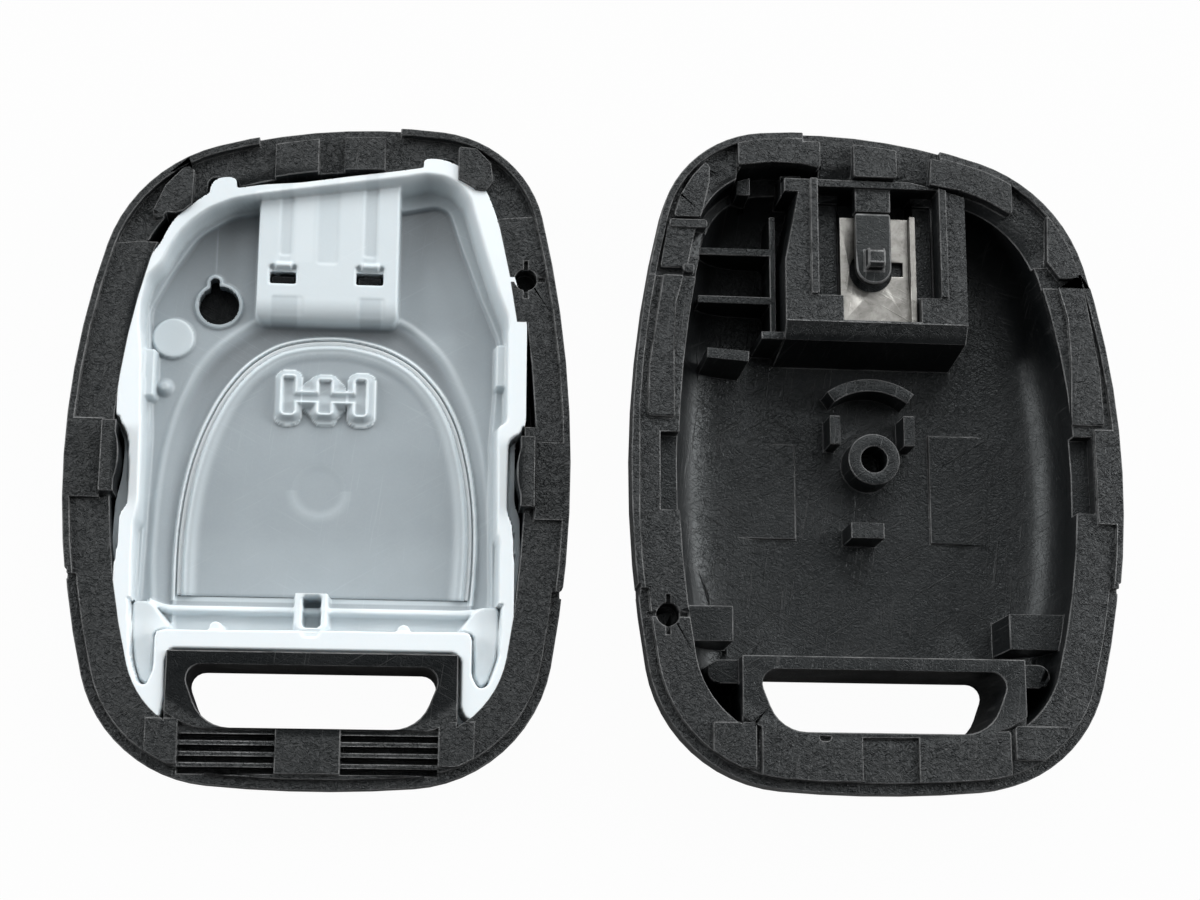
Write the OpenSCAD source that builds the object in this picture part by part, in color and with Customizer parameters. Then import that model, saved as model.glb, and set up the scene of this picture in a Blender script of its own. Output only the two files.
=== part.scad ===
// Two-part cover of a one-key remote fob, lying open with both insides up.
// Each half has its own origin at the middle of its outline, on the surface it lies on.
// Left of the middle is the front half with the seal, right of it the rear half with the
// blade seat. The halves are mirror images in outline and close about the Y axis.

/* [Case] */
// Width of one half
cover_w = 41.8; // [38:0.1:46]
// Length of one half
cover_l = 56.7; // [52:0.1:62]
// Depth of the front half, up to the parting plane
front_h = 6; // [5.8:0.1:7]
// Depth of the rear half, up to the parting plane
rear_h = 9; // [8.8:0.1:10]
// Thickness of the front half's face
front_floor = 1.2; // [1:0.1:1.4]
// Thickness of the rear half's face
rear_floor = 1.4; // [1.2:0.1:1.8]
// Distance between the two halves as they lie
case_gap = 4.8; // [2:0.1:12]
// How far the rounded edge of the outer face runs in
dome_inset = 8.6; // [6:0.1:9]

/* [Rim] */
// Width of the front half's rim, from the outside to the hollow
band_w = 3.8; // [3.6:0.1:4.2]
// Width of the rear half's rim, from the outside to the hollow
rear_band_w = 4; // [3.8:0.1:4.4]
// Width of the thin lip along the outer edge
lip_w = 0.6; // [0.4:0.05:0.8]
// Depth of the rear half's lip below its pads
lip_drop = 0.15; // [0.1:0.05:0.25]
// Radius of the corners of the raised pads
pad_r = 0.25; // [0.15:0.05:0.35]
// Width of the slope along the hollow's top edge
slope_w = 1.5; // [1:0.1:1.8]
// How far the front half's hollow steps back beside the seal
side_room = 0.9; // [0.5:0.05:1.1]
// Depth of the rim surface below the pads along the top
band_drop_top = 0.8; // [0.5:0.05:1]
// Depth of the rim surface below the pads along the sides
band_drop_side = 0.3; // [0.15:0.05:0.5]
// Width of the step along the lower outer edge
ledge_w = 0.85; // [0.5:0.05:1.2]
// Depth of the step along the lower outer edge
ledge_drop = 0.7; // [0.4:0.05:1]
// Width of the small notches in the two edges
notch_w = 0.8; // [0.5:0.05:1.2]
// Depth of the small notches in the two edges
notch_in = 0.8; // [0.5:0.05:1.2]
// Width of the blade's gap in the thin lip at the top
blade_gap_w = 12; // [10:0.1:13]

/* [Ring slot] */
// Length of the key ring slot along its straight edge
slot_w = 21.4; // [18:0.1:21.8]
// Height of the key ring slot
slot_l = 5.1; // [4.6:0.1:5.4]
// How much shorter the slot's curved edge is at each end
slot_draw = 2; // [1:0.1:3]
// Radius of the slot's two sharp corners
slot_r = 1.2; // [0.8:0.1:1.6]
// Radius of the slot's two round corners
slot_round = 3.2; // [2.4:0.1:3.4]
// Thickness of the wall between the slot and the hollow
slot_wall = 1.1; // [0.9:0.1:1.3]

/* [Catches] */
// Length of the two catch keys on the front half
catch_l = 6; // [4.5:0.1:6.6]
// Thickness of the catch keys
catch_w = 1.2; // [0.9:0.1:1.4]
// How far the catch keys stand above the parting plane
catch_rise = 1.1; // [0.6:0.05:1.3]
// Depth of the pockets that take the catch keys
pocket_depth = 1.7; // [1.5:0.1:2.2]
// Clearance round a catch key in its pocket
catch_gap = 0.3; // [0.2:0.05:0.4]
// Radius of the moulded sockets in the rims
socket_r = 0.95; // [0.7:0.05:1.1]
// Depth of the moulded sockets
socket_depth = 2.2; // [1.5:0.1:3]
// Width of the cross slot in a socket
cross_w = 0.35; // [0.2:0.05:0.5]

/* [Thumb key] */
// Width of the arched thumb key's field, at the groove
arch_w = 23.9; // [22:0.1:24.4]
// Height of the arch, from its hinge line to its crown
arch_l = 22.2; // [20.4:0.1:22.9]
// Radius of the arch's flanks
arch_flank_r = 18; // [16:0.1:20]
// Radius of the arch's crown
arch_crown_r = 9.8; // [9:0.1:10.6]
// Running gap round the moving field, all round
key_gap = 0.15; // [0.1:0.01:0.25]
// Width of the flange that keeps the key in its window
flange_w = 0.9; // [0.6:0.05:1.2]
// Thickness of that flange
flange_t = 0.5; // [0.4:0.05:0.6]
// How far the key's face lies inside the case's face
key_recess = 0.15; // [0.1:0.01:0.3]

/* [Seal] */
// Clearance between the seal and the case
seal_gap = 0.15; // [0.1:0.01:0.25]
// Thickness of the seal's rim
seal_rim = 1.15; // [0.9:0.05:1.3]
// Thickness of the lugs on the seal's upper edge
lug_t = 1.6; // [1.2:0.1:2]
// Width of the seal's sloping inner wall
seal_slope = 1.5; // [1.2:0.05:1.8]
// Thickness of the seal's floor above the key flange
seal_skin = 0.7; // [0.6:0.05:0.9]
// How far the seal's rim stays below the parting plane
seal_drop = 0.3; // [0.2:0.05:0.6]
// Width of the groove that lets the key field move
groove_w = 0.8; // [0.6:0.05:1]
// Depth of that groove
groove_depth = 0.35; // [0.2:0.05:0.45]
// Width of the hood over the blade seat
hood_w = 12.3; // [11.5:0.1:13]
// Length of the hood
hood_l = 12.6; // [12:0.1:12.8]
// Height of the hood above the seal's floor
hood_h = 2.1; // [1.6:0.05:2.2]
// Width of the two windows in the hood
window_w = 2.3; // [2:0.05:2.8]
// Length of the two windows in the hood
window_l = 1.2; // [1.1:0.05:1.6]
// Width over the ribs that press the switch
pusher_w = 9; // [8.4:0.1:9.4]
// Length of the ribs that press the switch
pusher_l = 5; // [4.6:0.1:5.4]
// Thickness of the ribs that press the switch
pusher_rib = 0.55; // [0.4:0.05:0.7]
// Height of those ribs
pusher_h = 0.9; // [0.6:0.05:1.1]
// Radius of the keyhole's round end
keyhole_r = 1.7; // [1.4:0.05:1.8]
// Width of the keyhole's slit
keyhole_w = 0.8; // [0.6:0.05:1]
// Width of the raised edge round the keyhole
keyhole_edge = 0.4; // [0.3:0.05:0.5]

/* [Blade seat] */
// Outer width of the blade holder
holder_w = 15.8; // [15.4:0.1:16.2]
// Length of the blade holder, from its front wall to the rim
holder_l = 14.2; // [13.9:0.1:14.5]
// How far the holder's left side runs in towards the rim
holder_taper = 1.2; // [0.8:0.1:1.5]
// How far the holder's front wall leans back over its height
holder_lean = 0.9; // [0.4:0.1:1.2]
// Depth of the bevel along the holder's front edge
holder_bevel = 1; // [0.6:0.1:1.2]
// Length of the bevel along the holder's front edge
bar_step = 1.4; // [1:0.1:1.6]
// Thickness of the ridges along the channel
ridge_w = 0.65; // [0.5:0.05:0.75]
// Height of the ridges above the rails
ridge_h = 0.3; // [0.2:0.05:0.4]
// Depth of the pockets beside the steel plate
pocket_drop = 0.4; // [0.2:0.05:0.8]
// Depth of the hollow behind the steel plate
under_drop = 2.6; // [2:0.1:3.2]
// Height of the holder's rails below the parting plane
holder_drop = 0.5; // [0.4:0.05:0.8]
// Width of the channel between the rails
channel_w = 10.6; // [10.4:0.1:10.8]
// Depth of the channel below the rails
channel_depth = 2.4; // [2.2:0.1:2.6]
// Length of the cross bar that closes the channel
bar_l = 3.8; // [3.6:0.1:4]
// Width of the steel plate
plate_w = 6.5; // [6:0.1:6.8]
// Length of the steel plate
plate_l = 9.7; // [9.4:0.1:9.8]
// Thickness of the steel plate
plate_t = 0.5; // [0.4:0.05:0.6]
// Radius of the hole in the steel plate
plate_hole_r = 1.85; // [1.75:0.05:2]
// Height of the plate's turned-up edge
plate_lip = 0.8; // [0.5:0.05:1]
// Width of the latch tongue
tongue_w = 3.1; // [2.8:0.1:3.2]
// Thickness of the latch tongue
tongue_t = 0.9; // [0.7:0.05:1]
// Height of the tongue above the steel plate
tongue_lift = 0.6; // [0.5:0.05:0.8]
// Width of the peg on the tongue
peg_w = 1.55; // [1.2:0.05:1.8]
// Length of the peg on the tongue
peg_l = 1.7; // [1.2:0.05:2]
// Width of the slopes on top of the peg
peg_slope = 0.3; // [0.2:0.05:0.4]
// Height of the peg on the tongue
peg_h = 1.3; // [1:0.05:1.4]
// How far the peg stands behind the middle of the tongue's round end
peg_shift = 0.5; // [0.2:0.05:0.7]
// Running gap round the latch tongue
tongue_gap = 0.12; // [0.1:0.01:0.2]

/* [Rear tray] */
// Outer radius of the screw boss
boss_r = 2.25; // [2:0.05:2.5]
// Radius of the boss's bore
bore_r = 1.15; // [1:0.05:1.3]
// Height of the boss above the tray's floor
boss_h = 3.2; // [2.8:0.1:3.6]
// Depth of the boss's bore
bore_depth = 3.4; // [3:0.1:3.6]
// Radius of the curved rib above the boss
arc_r = 6.5; // [6.2:0.1:6.8]
// Thickness of the curved rib
arc_w = 1.1; // [0.8:0.05:1.4]
// Height of the curved rib and the tabs beside the boss
stop_h = 3; // [2.4:0.1:3.6]
// Height of the low tab in front of the boss
low_stop_h = 3.8; // [3.2:0.1:4.2]
// Height of the tray's thin ribs
thin_rib_h = 4.5; // [4:0.1:5]
// Height of the tabs below the top rim
wall_tab_h = 5.6; // [5:0.1:6]
// Height of the clips and pegs beside the ring slot
clip_h = 5.8; // [5.2:0.1:6.2]
// Width of the slanting tab
slant_w = 3.6; // [3.2:0.1:4]
// Thickness of the slanting tab
slant_t = 0.9; // [0.7:0.05:1.1]
// Height of the slanting tab
slant_h = 6.6; // [6:0.1:7]
// Height of the shallow pads on the tray's floor
floor_pad_h = 0.25; // [0.15:0.05:0.4]
// Radius of the round pegs beside the ring slot
side_peg_r = 1; // [0.8:0.05:1.1]

/* [Hidden] */
over = 0.5; // overrun of every cut
round_steps = 6; // steps in a rounded corner
fine = 48; // facets of small round forms
pad_steps = 2; // steps in the rounded corner of a pad
row_steps = 8; // steps in a rounded edge, seen from the side
right_angle = 90;

half_w = cover_w / 2;
half_l = cover_l / 2;
front_x = -(half_w + case_gap / 2);
rear_x = half_w + case_gap / 2;

// The outline is a closed chain of eight arcs that meet without a corner, taken
// counter-clockwise from the lower right. Two radii follow from closing the chain.
start_heading = -10;
arc_angles = [23.4, 71.1, 23, 56.9, 30.5, 70, 9.6, 75.5];
arc_radius_shares = [0, 0.172, 0.854, 0.235, 1.219, 0.205, 0, 0.214];
arc_steps = [9, 12, 7, 10, 10, 12, 5, 12];
closing_steps = [0, 6]; // the two steps of the chain that close it

function heading(i) = i == 0 ? start_heading : heading(i - 1) + arc_angles[i - 1];
function way(a) = [cos(a), sin(a)];
function leap(i) = way(heading(i + 1)) - way(heading(i));
function cross2(a, b) = a[0] * b[1] - a[1] * b[0];
function total(list, i = 0) = i == len(list) ? [0, 0] : list[i] + total(list, i + 1);
function unit(v) = v / norm(v);

open_chain = total([for (i = [0:7]) arc_radius_shares[i] * leap(i)]);
first_leap = leap(closing_steps[0]);
second_leap = leap(closing_steps[1]);
leap_area = cross2(first_leap, second_leap);
first_radius = cross2(second_leap, open_chain) / leap_area;
second_radius = cross2(open_chain, first_leap) / leap_area;

function radius_share(i) = i == closing_steps[0] ? first_radius
    : i == closing_steps[1] ? second_radius
    : arc_radius_shares[i];
function arc_start(i) = i == 0 ? [0, 0] : arc_start(i - 1) + radius_share(i - 1) * leap(i - 1);

chain_headings = [for (i = [0:7]) for (k = [0:arc_steps[i] - 1])
    heading(i) + arc_angles[i] * k / arc_steps[i]];
chain_shares = [for (i = [0:7]) for (k = [0:arc_steps[i] - 1])
    arc_start(i) + radius_share(i) * (way(heading(i) + arc_angles[i] * k / arc_steps[i]) - way(heading(i)))];
low_share = [for (axis = [0, 1]) min([for (p = chain_shares) p[axis]])];
high_share = [for (axis = [0, 1]) max([for (p = chain_shares) p[axis]])];
stretch = [cover_w / (high_share[0] - low_share[0]), cover_l / (high_share[1] - low_share[1])];
middle_share = (low_share + high_share) / 2;

// The outline of the front half, moved inwards by a distance along its normals.
function outline(inset) = [for (i = [0:len(chain_shares) - 1])
    let (p = chain_shares[i] - middle_share, w = way(chain_headings[i]))
    [p[0] * stretch[0], p[1] * stretch[1]] - inset * unit([w[0] * stretch[1], w[1] * stretch[0]])];

// Share of the half sizes to a place in the half's own frame.
function place(s) = [s[0] * half_w, s[1] * half_l];

// A closed outline from corner points, each rounded with its own radius.
function rounded(points, radii, steps = round_steps) = let (n = len(points)) [for (i = [0:n - 1])
    let (p = points[i], a = unit(points[(i + n - 1) % n] - p), b = unit(points[(i + 1) % n] - p))
    let (half = acos(a * b) / 2, c = p + unit(a + b) * radii[i] / sin(half))
    let (t = p + a * radii[i] / tan(half) - c, start = atan2(t[1], t[0]))
    let (turn = 2 * (right_angle - half) * sign(cross2(b, a)))
    for (k = [0:steps]) c + radii[i] * way(start + turn * k / steps)];

module round_box(low, high, r) {
    polygon(rounded([low, [high[0], low[1]], high, [low[0], high[1]]], [r, r, r, r]));
}

// Raised pads, each given by the shares of its corners.
module pads(list) {
    for (s = list) polygon(rounded([for (p = s) place(p)], [for (p = s) pad_r], pad_steps));
}

// A rectangle given by the shares of its low and high corners.
module zone(s) {
    low = place([s[0], s[1]]);
    high = place([s[2], s[3]]);
    translate(low) square(high - low);
}

module ring(outer, inner) {
    difference() {
        polygon(outline(outer));
        polygon(outline(inner));
    }
}

// A solid through a stack of outlines. Each level gives the outline's inset, the share by
// which it shrinks to the middle, and its height.
module loft(levels) {
    n = len(chain_shares);
    last = len(levels) - 1;
    points = [for (level = levels) for (p = outline(level[0]))
        [p[0] * (1 - level[1]), p[1] * (1 - level[1]), level[2]]];
    sides = [for (j = [0:last - 1]) for (i = [0:n - 1]) let (k = (i + 1) % n)
        each [[j * n + i, (j + 1) * n + i, (j + 1) * n + k], [j * n + i, (j + 1) * n + k, j * n + k]]];
    low_face = [for (i = [0:n - 1]) i];
    high_face = [for (i = [0:n - 1]) last * n + n - 1 - i];
    polyhedron(points, concat([low_face], sides, [high_face]));
}

// Rows of a rounded form: a flat face, a rounded edge and an upright wall. They are shares
// of the inset, of the size at the middle, and of the height. The form's own shares are how
// far its face comes in, where the edge starts and ends in height, and its roundness.
function rows(s) = concat(s[0] > 0 ? [[1, s[0], 0]] : [],
    [for (k = [0:row_steps]) let (a = right_angle * k / row_steps)
        [1 - pow(sin(a), s[3]), 0, s[1] + (s[2] - s[1]) * (1 - pow(cos(a), s[3]))]],
    [[0, 0, 1]]);
front_dome_shares = rows([0, 0, 0.7, 0.87]);
rear_dome_shares = rows([0.3, 0.04, 0.7, 0.95]);
bowl_shares = rows([0.25, 0.05, 0.6, 1]);
module dome(h, shares) {
    loft([for (s = shares) [s[0] * dome_inset, s[1], s[2] * h]]);
}

// The rounded hollow of the rear half, or with a share of its wall taken off, a form that
// ends inside that wall.
module bowl(wall_share) {
    wall = rear_floor * wall_share;
    base = rear_floor - wall;
    side = rear_band_w - wall;
    loft([for (s = bowl_shares) [side + s[0] * (dome_inset - side), s[1],
        base + s[2] * (rear_h - base) + (s[2] == 1 ? over : 0)]]);
}

// Places on the rims
beyond_share = 1.1; // past the outline, for zones that run off it
front_seam_shares = [0.589, 0.756];
rear_seam_shares = [0.53, 0.53];
notch_shares = [-0.39, -0.42];
ring_slot_top_share = -0.646;
surround_w = slot_w + 2 * slot_wall;
slot_top = ring_slot_top_share * half_l;
surround_top = slot_top + slot_wall;

module ring_slot(h) {
    r = [slot_r, slot_r, slot_round, slot_round];
    points = [[slot_w / 2, slot_top], [-slot_w / 2, slot_top],
        [-slot_w / 2 + slot_draw, slot_top - slot_l], [slot_w / 2 - slot_draw, slot_top - slot_l]];
    translate([0, 0, -over]) linear_extrude(h + 2 * over) polygon(rounded(points, r));
}

module surround(extra) {
    translate([-surround_w / 2 - extra, -cover_l])
        square([surround_w + 2 * extra, cover_l + surround_top + extra]);
}

// The front half's hollow, with the places where it steps back from the seal
side_room_shares = [[0.76, 0.078, 1, 0.4], [-0.72, 0.615, -0.62, 0.705]];
module hollow2d() {
    difference() {
        union() {
            polygon(outline(band_w));
            intersection() {
                polygon(outline(band_w - side_room));
                for (s = side_room_shares) zone(s);
            }
        }
        surround(0);
    }
}

// Everything of the rim above a line from one side's seam to the other's, or below it
module above(seams) {
    e = beyond_share;
    polygon([place([-e, seams[0]]), place([e, seams[1]]), place([e, e]), place([-e, e])]);
}

module below(seams) {
    e = beyond_share;
    polygon([place([-e, -e]), place([e, -e]), place([e, seams[1]]), place([-e, seams[0]])]);
}

// The thin outer lip is open at the top, where the blade leaves the case.
module blade_gap(h) {
    translate([0, 0, h - band_drop_top]) linear_extrude(band_drop_top + over) intersection() {
        ring(-over, lip_w + pad_r);
        translate([-blade_gap_w / 2, 0]) square([blade_gap_w, cover_l]);
    }
}

// The two notches in the edges, and the step in the rim below them.
module edge_notches(h) {
    for (side = [0, 1]) {
        x = side == 0 ? -half_w - over : half_w - notch_in;
        translate([x, notch_shares[side] * half_l - notch_w / 2, -over])
            cube([notch_in + over, notch_w, h + 2 * over]);
    }
}

module lower_step(h) {
    translate([0, 0, h - ledge_drop]) linear_extrude(ledge_drop + over) intersection() {
        ring(-over, ledge_w);
        below(notch_shares);
    }
}

// A blind socket with a crossed slot, cut down from a level.
module socket_cut(at, level) {
    arm = socket_r + 2 * cross_w;
    translate([at[0], at[1], level - socket_depth])
        cylinder(r = socket_r, h = socket_depth + over, $fn = fine);
    for (turn = [0, 90])
        translate([at[0], at[1], level - socket_depth / 3]) rotate(turn)
            translate([-arm, -cross_w / 2, 0]) cube([2 * arm, cross_w, socket_depth]);
}

/* Front half */

front_pad_shares = [[[-0.221, 0.8], [-0.044, 0.8], [-0.044, 0.959], [-0.221, 0.959]],
    [[0.059, 0.8], [0.227, 0.8], [0.227, 0.977], [0.059, 0.977]],
    [[-0.7, 0.685], [-0.55, 0.72], [-0.545, 0.84], [-0.575, 0.862], [-0.66, 0.79], [-0.705, 0.71]],
    [[0.526, 0.82], [0.64, 0.81], [0.672, 0.84], [0.66, 0.9], [0.6, 0.945], [0.526, 0.95]]];
front_side_pad_shares = [[-1.1, -0.168, -0.855, 0.069], [0.855, -0.205, 1.1, 0.03]];
front_socket_share = [0.811, 0.535];
rib_zone_shares = [[-0.507, -0.955, -0.136, -0.83], [0.116, -0.955, 0.493, -0.83]];
front_corner_shares = [[-0.632, -0.93, -0.507, -0.8], [0.493, -0.93, 0.632, -0.8]];
bottom_band_share = -0.8;
rib_count = 4;
rib_share = 0.45;
catch_shares = [[-0.825, -0.05], [0.825, -0.067]];
hood_x_share = 0;
hood_top_share = 0.846;
// Shares of the hood's sizes, from its middle and its top edge
window_shares = [[-0.302, 0.705], [0.298, 0.698]];
lug_share = 0.55;

// Middle of a window in the hood
function window_at(s) = [hood_x_share * half_w + s[0] * hood_w, hood_top_share * half_l - s[1] * hood_l];

// Height of the seal's floor
skin_z = front_floor + flange_t + seal_skin;
hood_z = skin_z + hood_h;

module front_rim_cuts() {
    translate([0, 0, front_h - band_drop_top]) linear_extrude(band_drop_top + over) difference() {
        intersection() {
            ring(lip_w, band_w + over);
            above(front_seam_shares);
        }
        pads(front_pad_shares);
    }
    translate([0, 0, front_h - band_drop_side]) linear_extrude(band_drop_side + over) difference() {
        intersection() {
            ring(lip_w, band_w + over);
            below(front_seam_shares);
        }
        below([bottom_band_share, bottom_band_share]);
        for (s = front_side_pad_shares) zone(s);
    }
}

module front_cover() color("#2b2d30") translate([front_x, 0, 0]) {
    difference() {
        dome(front_h, front_dome_shares);
        translate([0, 0, front_floor]) linear_extrude(front_h) hollow2d();
        front_rim_cuts();
        blade_gap(front_h);
        lower_step(front_h);
        edge_notches(front_h);
        ring_slot(front_h);
        socket_cut(place(front_socket_share), front_h);
        bottom_rib_cuts();
        translate([0, 0, -over]) linear_extrude(front_floor + 2 * over) polygon(arch(key_gap + flange_w));
        translate([0, 0, seal_top - lug_t]) linear_extrude(front_h) seal_lugs(seal_gap);
    }
    for (side = [0, 1]) catch_key(side);
    for (s = window_shares) window_lug(s);
}

// Recess with ribs on both sides of the middle pad at the bottom
module bottom_rib_cuts() {
    for (s = rib_zone_shares) {
        low = place([s[0], s[1]]);
        high = place([s[2], s[3]]);
        pitch = (high[1] - low[1]) / rib_count;
        translate([low[0], low[1], front_h - band_drop_side])
            cube([high[0] - low[0], high[1] - low[1], band_drop_side + over]);
        for (i = [0:rib_count - 1])
            translate([low[0], low[1] + i * pitch, front_h - 2 * band_drop_top])
                cube([high[0] - low[0], pitch * (1 - rib_share), 2 * band_drop_top]);
    }
    translate([0, 0, front_h - band_drop_side]) linear_extrude(band_drop_side + over) intersection() {
        ring(lip_w, band_w + over);
        difference() {
            below([bottom_band_share, bottom_band_share]);
            for (s = front_corner_shares) zone(s);
            zone([rib_zone_shares[0][2], rib_zone_shares[0][1], rib_zone_shares[1][0], bottom_band_share]);
        }
    }
}

// A key that stands on the rim, with a bulged inner side
module catch_key(side) {
    at = place(catch_shares[side]);
    inward = side == 0 ? 1 : -1;
    base = front_h - pocket_depth - band_drop_top;
    translate([at[0], at[1], base]) linear_extrude(front_h + catch_rise - base) {
        translate([-catch_w / 2, -catch_l / 2]) square([catch_w, catch_l]);
        intersection() {
            translate([inward * (catch_w / 2 - catch_l), 0])
                circle(r = catch_l + catch_w / 4, $fn = 2 * fine);
            translate([inward > 0 ? 0 : -catch_w, -catch_l / 2]) square([catch_w, catch_l]);
        }
    }
}

// A lug that comes up through a window of the hood
module window_lug(s) {
    at = window_at(s);
    w = window_w - 2 * seal_gap;
    l = window_l * lug_share;
    translate([at[0] - w / 2, at[1] - window_l / 2 + seal_gap, front_floor / 2])
        cube([w, l, hood_z - seal_skin - front_floor / 2]);
}

/* Thumb key */

// The arch of the key field, moved inwards by a distance: a straight foot, two flanks
// and a crown, whose centres follow from the radii.
arch_x_share = 0.026;
arch_foot_share = -0.433;
flank_angle_steps = 12;
function arch(inset) =
    let (w = arch_w / 2 - inset, rf = arch_flank_r - inset, rc = arch_crown_r - inset)
    let (shift = rf - w, rise = sqrt(pow(rf - rc, 2) - pow(shift, 2)), angle = atan2(rise, shift))
    let (foot = arch_foot_share * half_l + inset, crown = arch_foot_share * half_l + arch_l - inset)
    let (centre = crown - rc - rise, x = arch_x_share * half_w)
    concat([[x - w, foot], [x + w, foot]],
        [for (k = [0:flank_angle_steps]) [x - shift, centre] + rf * way(angle * k / flank_angle_steps)],
        [for (k = [1:flank_angle_steps]) [x, centre + rise]
            + rc * way(angle + 2 * (right_angle - angle) * k / flank_angle_steps)],
        [for (k = [1:flank_angle_steps]) [x + shift, centre]
            + rf * way(2 * right_angle - angle + angle * k / flank_angle_steps)]);

module thumb_key() color("#303236") translate([front_x, 0, 0]) {
    translate([0, 0, key_recess]) linear_extrude(front_floor - key_recess + key_gap)
        polygon(arch(2 * key_gap + flange_w));
    translate([0, 0, front_floor + key_gap]) linear_extrude(flange_t - key_gap) polygon(arch(key_gap));
}

/* Seal */

seal_top = front_h - seal_drop;
seal_wall_shares = [[-0.86, -0.22, -0.68, 0.13], [0.69, -0.25, 0.86, 0.06], [-0.78, 0.155, -0.67, 0.309],
    [0.682, 0.2, 0.8, 0.35]];
base_band_share = -0.523;
ledge_share = -0.461;
ledge_end_share = 0.7;
leg_pocket_shares = [[-0.714, -0.697, -0.614, -0.456], [0.612, -0.702, 0.706, -0.454]];
band_bump_shares = [[-0.39, -0.514], [0.345, -0.514]];
disc_share = [-0.613, 0.348];
pin_share = [-0.651, 0.195];
keyhole_share = [-0.436, 0.455];
disc_r = 1.85;
pin_r = 0.85;
bump_r = 0.65;
loop_shares = [[-0.101, -0.54, 0.056, -0.398], [-0.06, -0.55, 0.008, -0.439]];
channel_shares = [[-0.29, 0.085], [0, 0.14], [0.29, 0.09]];
channel_reach_shares = [0.6, 0.57];
seal_lug_shares = [[-0.43, 0.78], [0.46, 0.865]];
lug_reach_share = [0.055, 0.045];
keyhole_slit_share = 1.4;

module seal_lugs(extra) {
    reach = place(lug_reach_share) + [extra, extra];
    for (s = seal_lug_shares) round_box(place(s) - reach, place(s) + reach, reach[0] / 2);
}

module seal_outer2d() {
    difference() {
        polygon(outline(band_w + seal_gap));
        surround(seal_gap);
    }
}

module seal_shell() {
    rim = band_w + seal_gap + seal_rim;
    difference() {
        translate([0, 0, front_floor]) linear_extrude(seal_top - front_floor) seal_outer2d();
        intersection() {
            loft([[rim + seal_slope, 0, skin_z], [rim + seal_slope / 2, 0, (skin_z + seal_top) / 2],
                [rim, 0, seal_top], [rim, 0, seal_top + over]]);
            translate([-cover_w, base_band_share * half_l, 0]) cube([2 * cover_w, cover_l, 2 * front_h]);
        }
    }
}

module seal() color("#e6ebef") translate([front_x, 0, 0]) difference() {
    union() {
        seal_shell();
        translate([0, 0, seal_top - lug_t]) linear_extrude(lug_t) seal_lugs(0);
        translate([0, 0, front_floor]) linear_extrude(seal_top - front_floor) intersection() {
            seal_outer2d();
            for (s = seal_wall_shares) zone(s);
        }
        seal_raised();
        hood();
    }
    for (side = [0, 1]) seal_bite(side);
    seal_cuts();
}

// Ledges, loop, disc and edge that stand on the seal's floor
module seal_raised() {
    at = place(keyhole_share);
    translate([0, 0, front_floor]) linear_extrude(skin_z + seal_skin - front_floor) {
        translate([-ledge_end_share * half_w, ledge_share * half_l - seal_skin / 2])
            square([2 * ledge_end_share * half_w, seal_skin]);
        for (s = band_bump_shares) translate(place(s)) circle(r = bump_r, $fn = fine);
    }
    translate([0, 0, front_floor]) linear_extrude(skin_z + 2 * seal_skin - front_floor) difference() {
        zone(loop_shares[0]);
        zone(loop_shares[1]);
    }
    translate([0, 0, front_floor]) linear_extrude(skin_z + groove_depth - front_floor) {
        translate(place(disc_share)) circle(r = disc_r, $fn = fine);
        translate(place(pin_share)) circle(r = pin_r, $fn = fine);
        translate(at) circle(r = keyhole_r + keyhole_edge, $fn = fine);
        translate(at + [-keyhole_w / 2 - keyhole_edge, 0])
            square([keyhole_w + 2 * keyhole_edge, keyhole_slit_share * keyhole_r + keyhole_edge]);
    }
}

module hood() {
    x = hood_x_share * half_w;
    top = hood_top_share * half_l;
    points = [[x - hood_w / 2, top - hood_l], [x + hood_w / 2, top - hood_l], [x + hood_w / 2, top],
        [x - hood_w / 2, top]];
    r = [seal_skin, seal_skin, seal_skin / 4, seal_skin / 4];
    difference() {
        translate([0, 0, front_floor]) linear_extrude(hood_z - front_floor) intersection() {
            seal_outer2d();
            polygon(rounded(points, r));
        }
        for (c = channel_shares) {
            w = c[1] * hood_w;
            low = top - channel_reach_shares[0] * hood_l;
            translate([x + c[0] * hood_w - w / 2, low, hood_z - groove_depth])
                cube([w, channel_reach_shares[1] * hood_l, groove_depth + over]);
        }
    }
}

// Bite in the seal's wall that clears a catch key
module seal_bite(side) {
    at = place(catch_shares[side]);
    room = catch_w / 2 + catch_w / 4 + seal_gap;
    translate([at[0] - (side == 0 ? half_w : room), at[1] - catch_l / 2 - seal_gap, front_floor + seal_skin])
        cube([half_w + room, catch_l + 2 * seal_gap, front_h]);
}

module seal_cuts() {
    at = place(keyhole_share);
    translate([0, 0, front_floor - over]) linear_extrude(front_h) {
        translate(at) circle(r = keyhole_r, $fn = fine);
        translate(at - [keyhole_w / 2, 0]) square([keyhole_w, keyhole_slit_share * keyhole_r]);
        for (s = window_shares) translate(window_at(s) - [window_w, window_l] / 2)
            square([window_w, window_l]);
        polygon(arch(0));
    }
    translate([0, 0, skin_z - groove_depth]) linear_extrude(front_h)
        difference() {
            polygon(arch(-groove_w / 2));
            translate([-half_w, arch_foot_share * half_l - cover_l]) square([cover_w, cover_l]);
        }
    for (s = leg_pocket_shares)
        translate([0, 0, front_floor + seal_skin]) linear_extrude(front_h)
            round_box(place([s[0], s[1]]), place([s[2], s[3]]), bump_r);
}

// The part of the seal inside the groove, with the ribs that press the switch. It is one
// moulding with the seal and swings with the thumb key.
module seal_key_field() color("#dfe5ea") translate([front_x, 0, 0]) {
    base = front_floor + flange_t;
    translate([0, 0, base]) linear_extrude(skin_z - groove_depth - base) polygon(arch(key_gap));
    translate([0, 0, base]) linear_extrude(skin_z - base) polygon(arch(groove_w / 2 + key_gap));
    translate([0, 0, base]) linear_extrude(skin_z + pusher_h - base) pusher();
}

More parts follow.
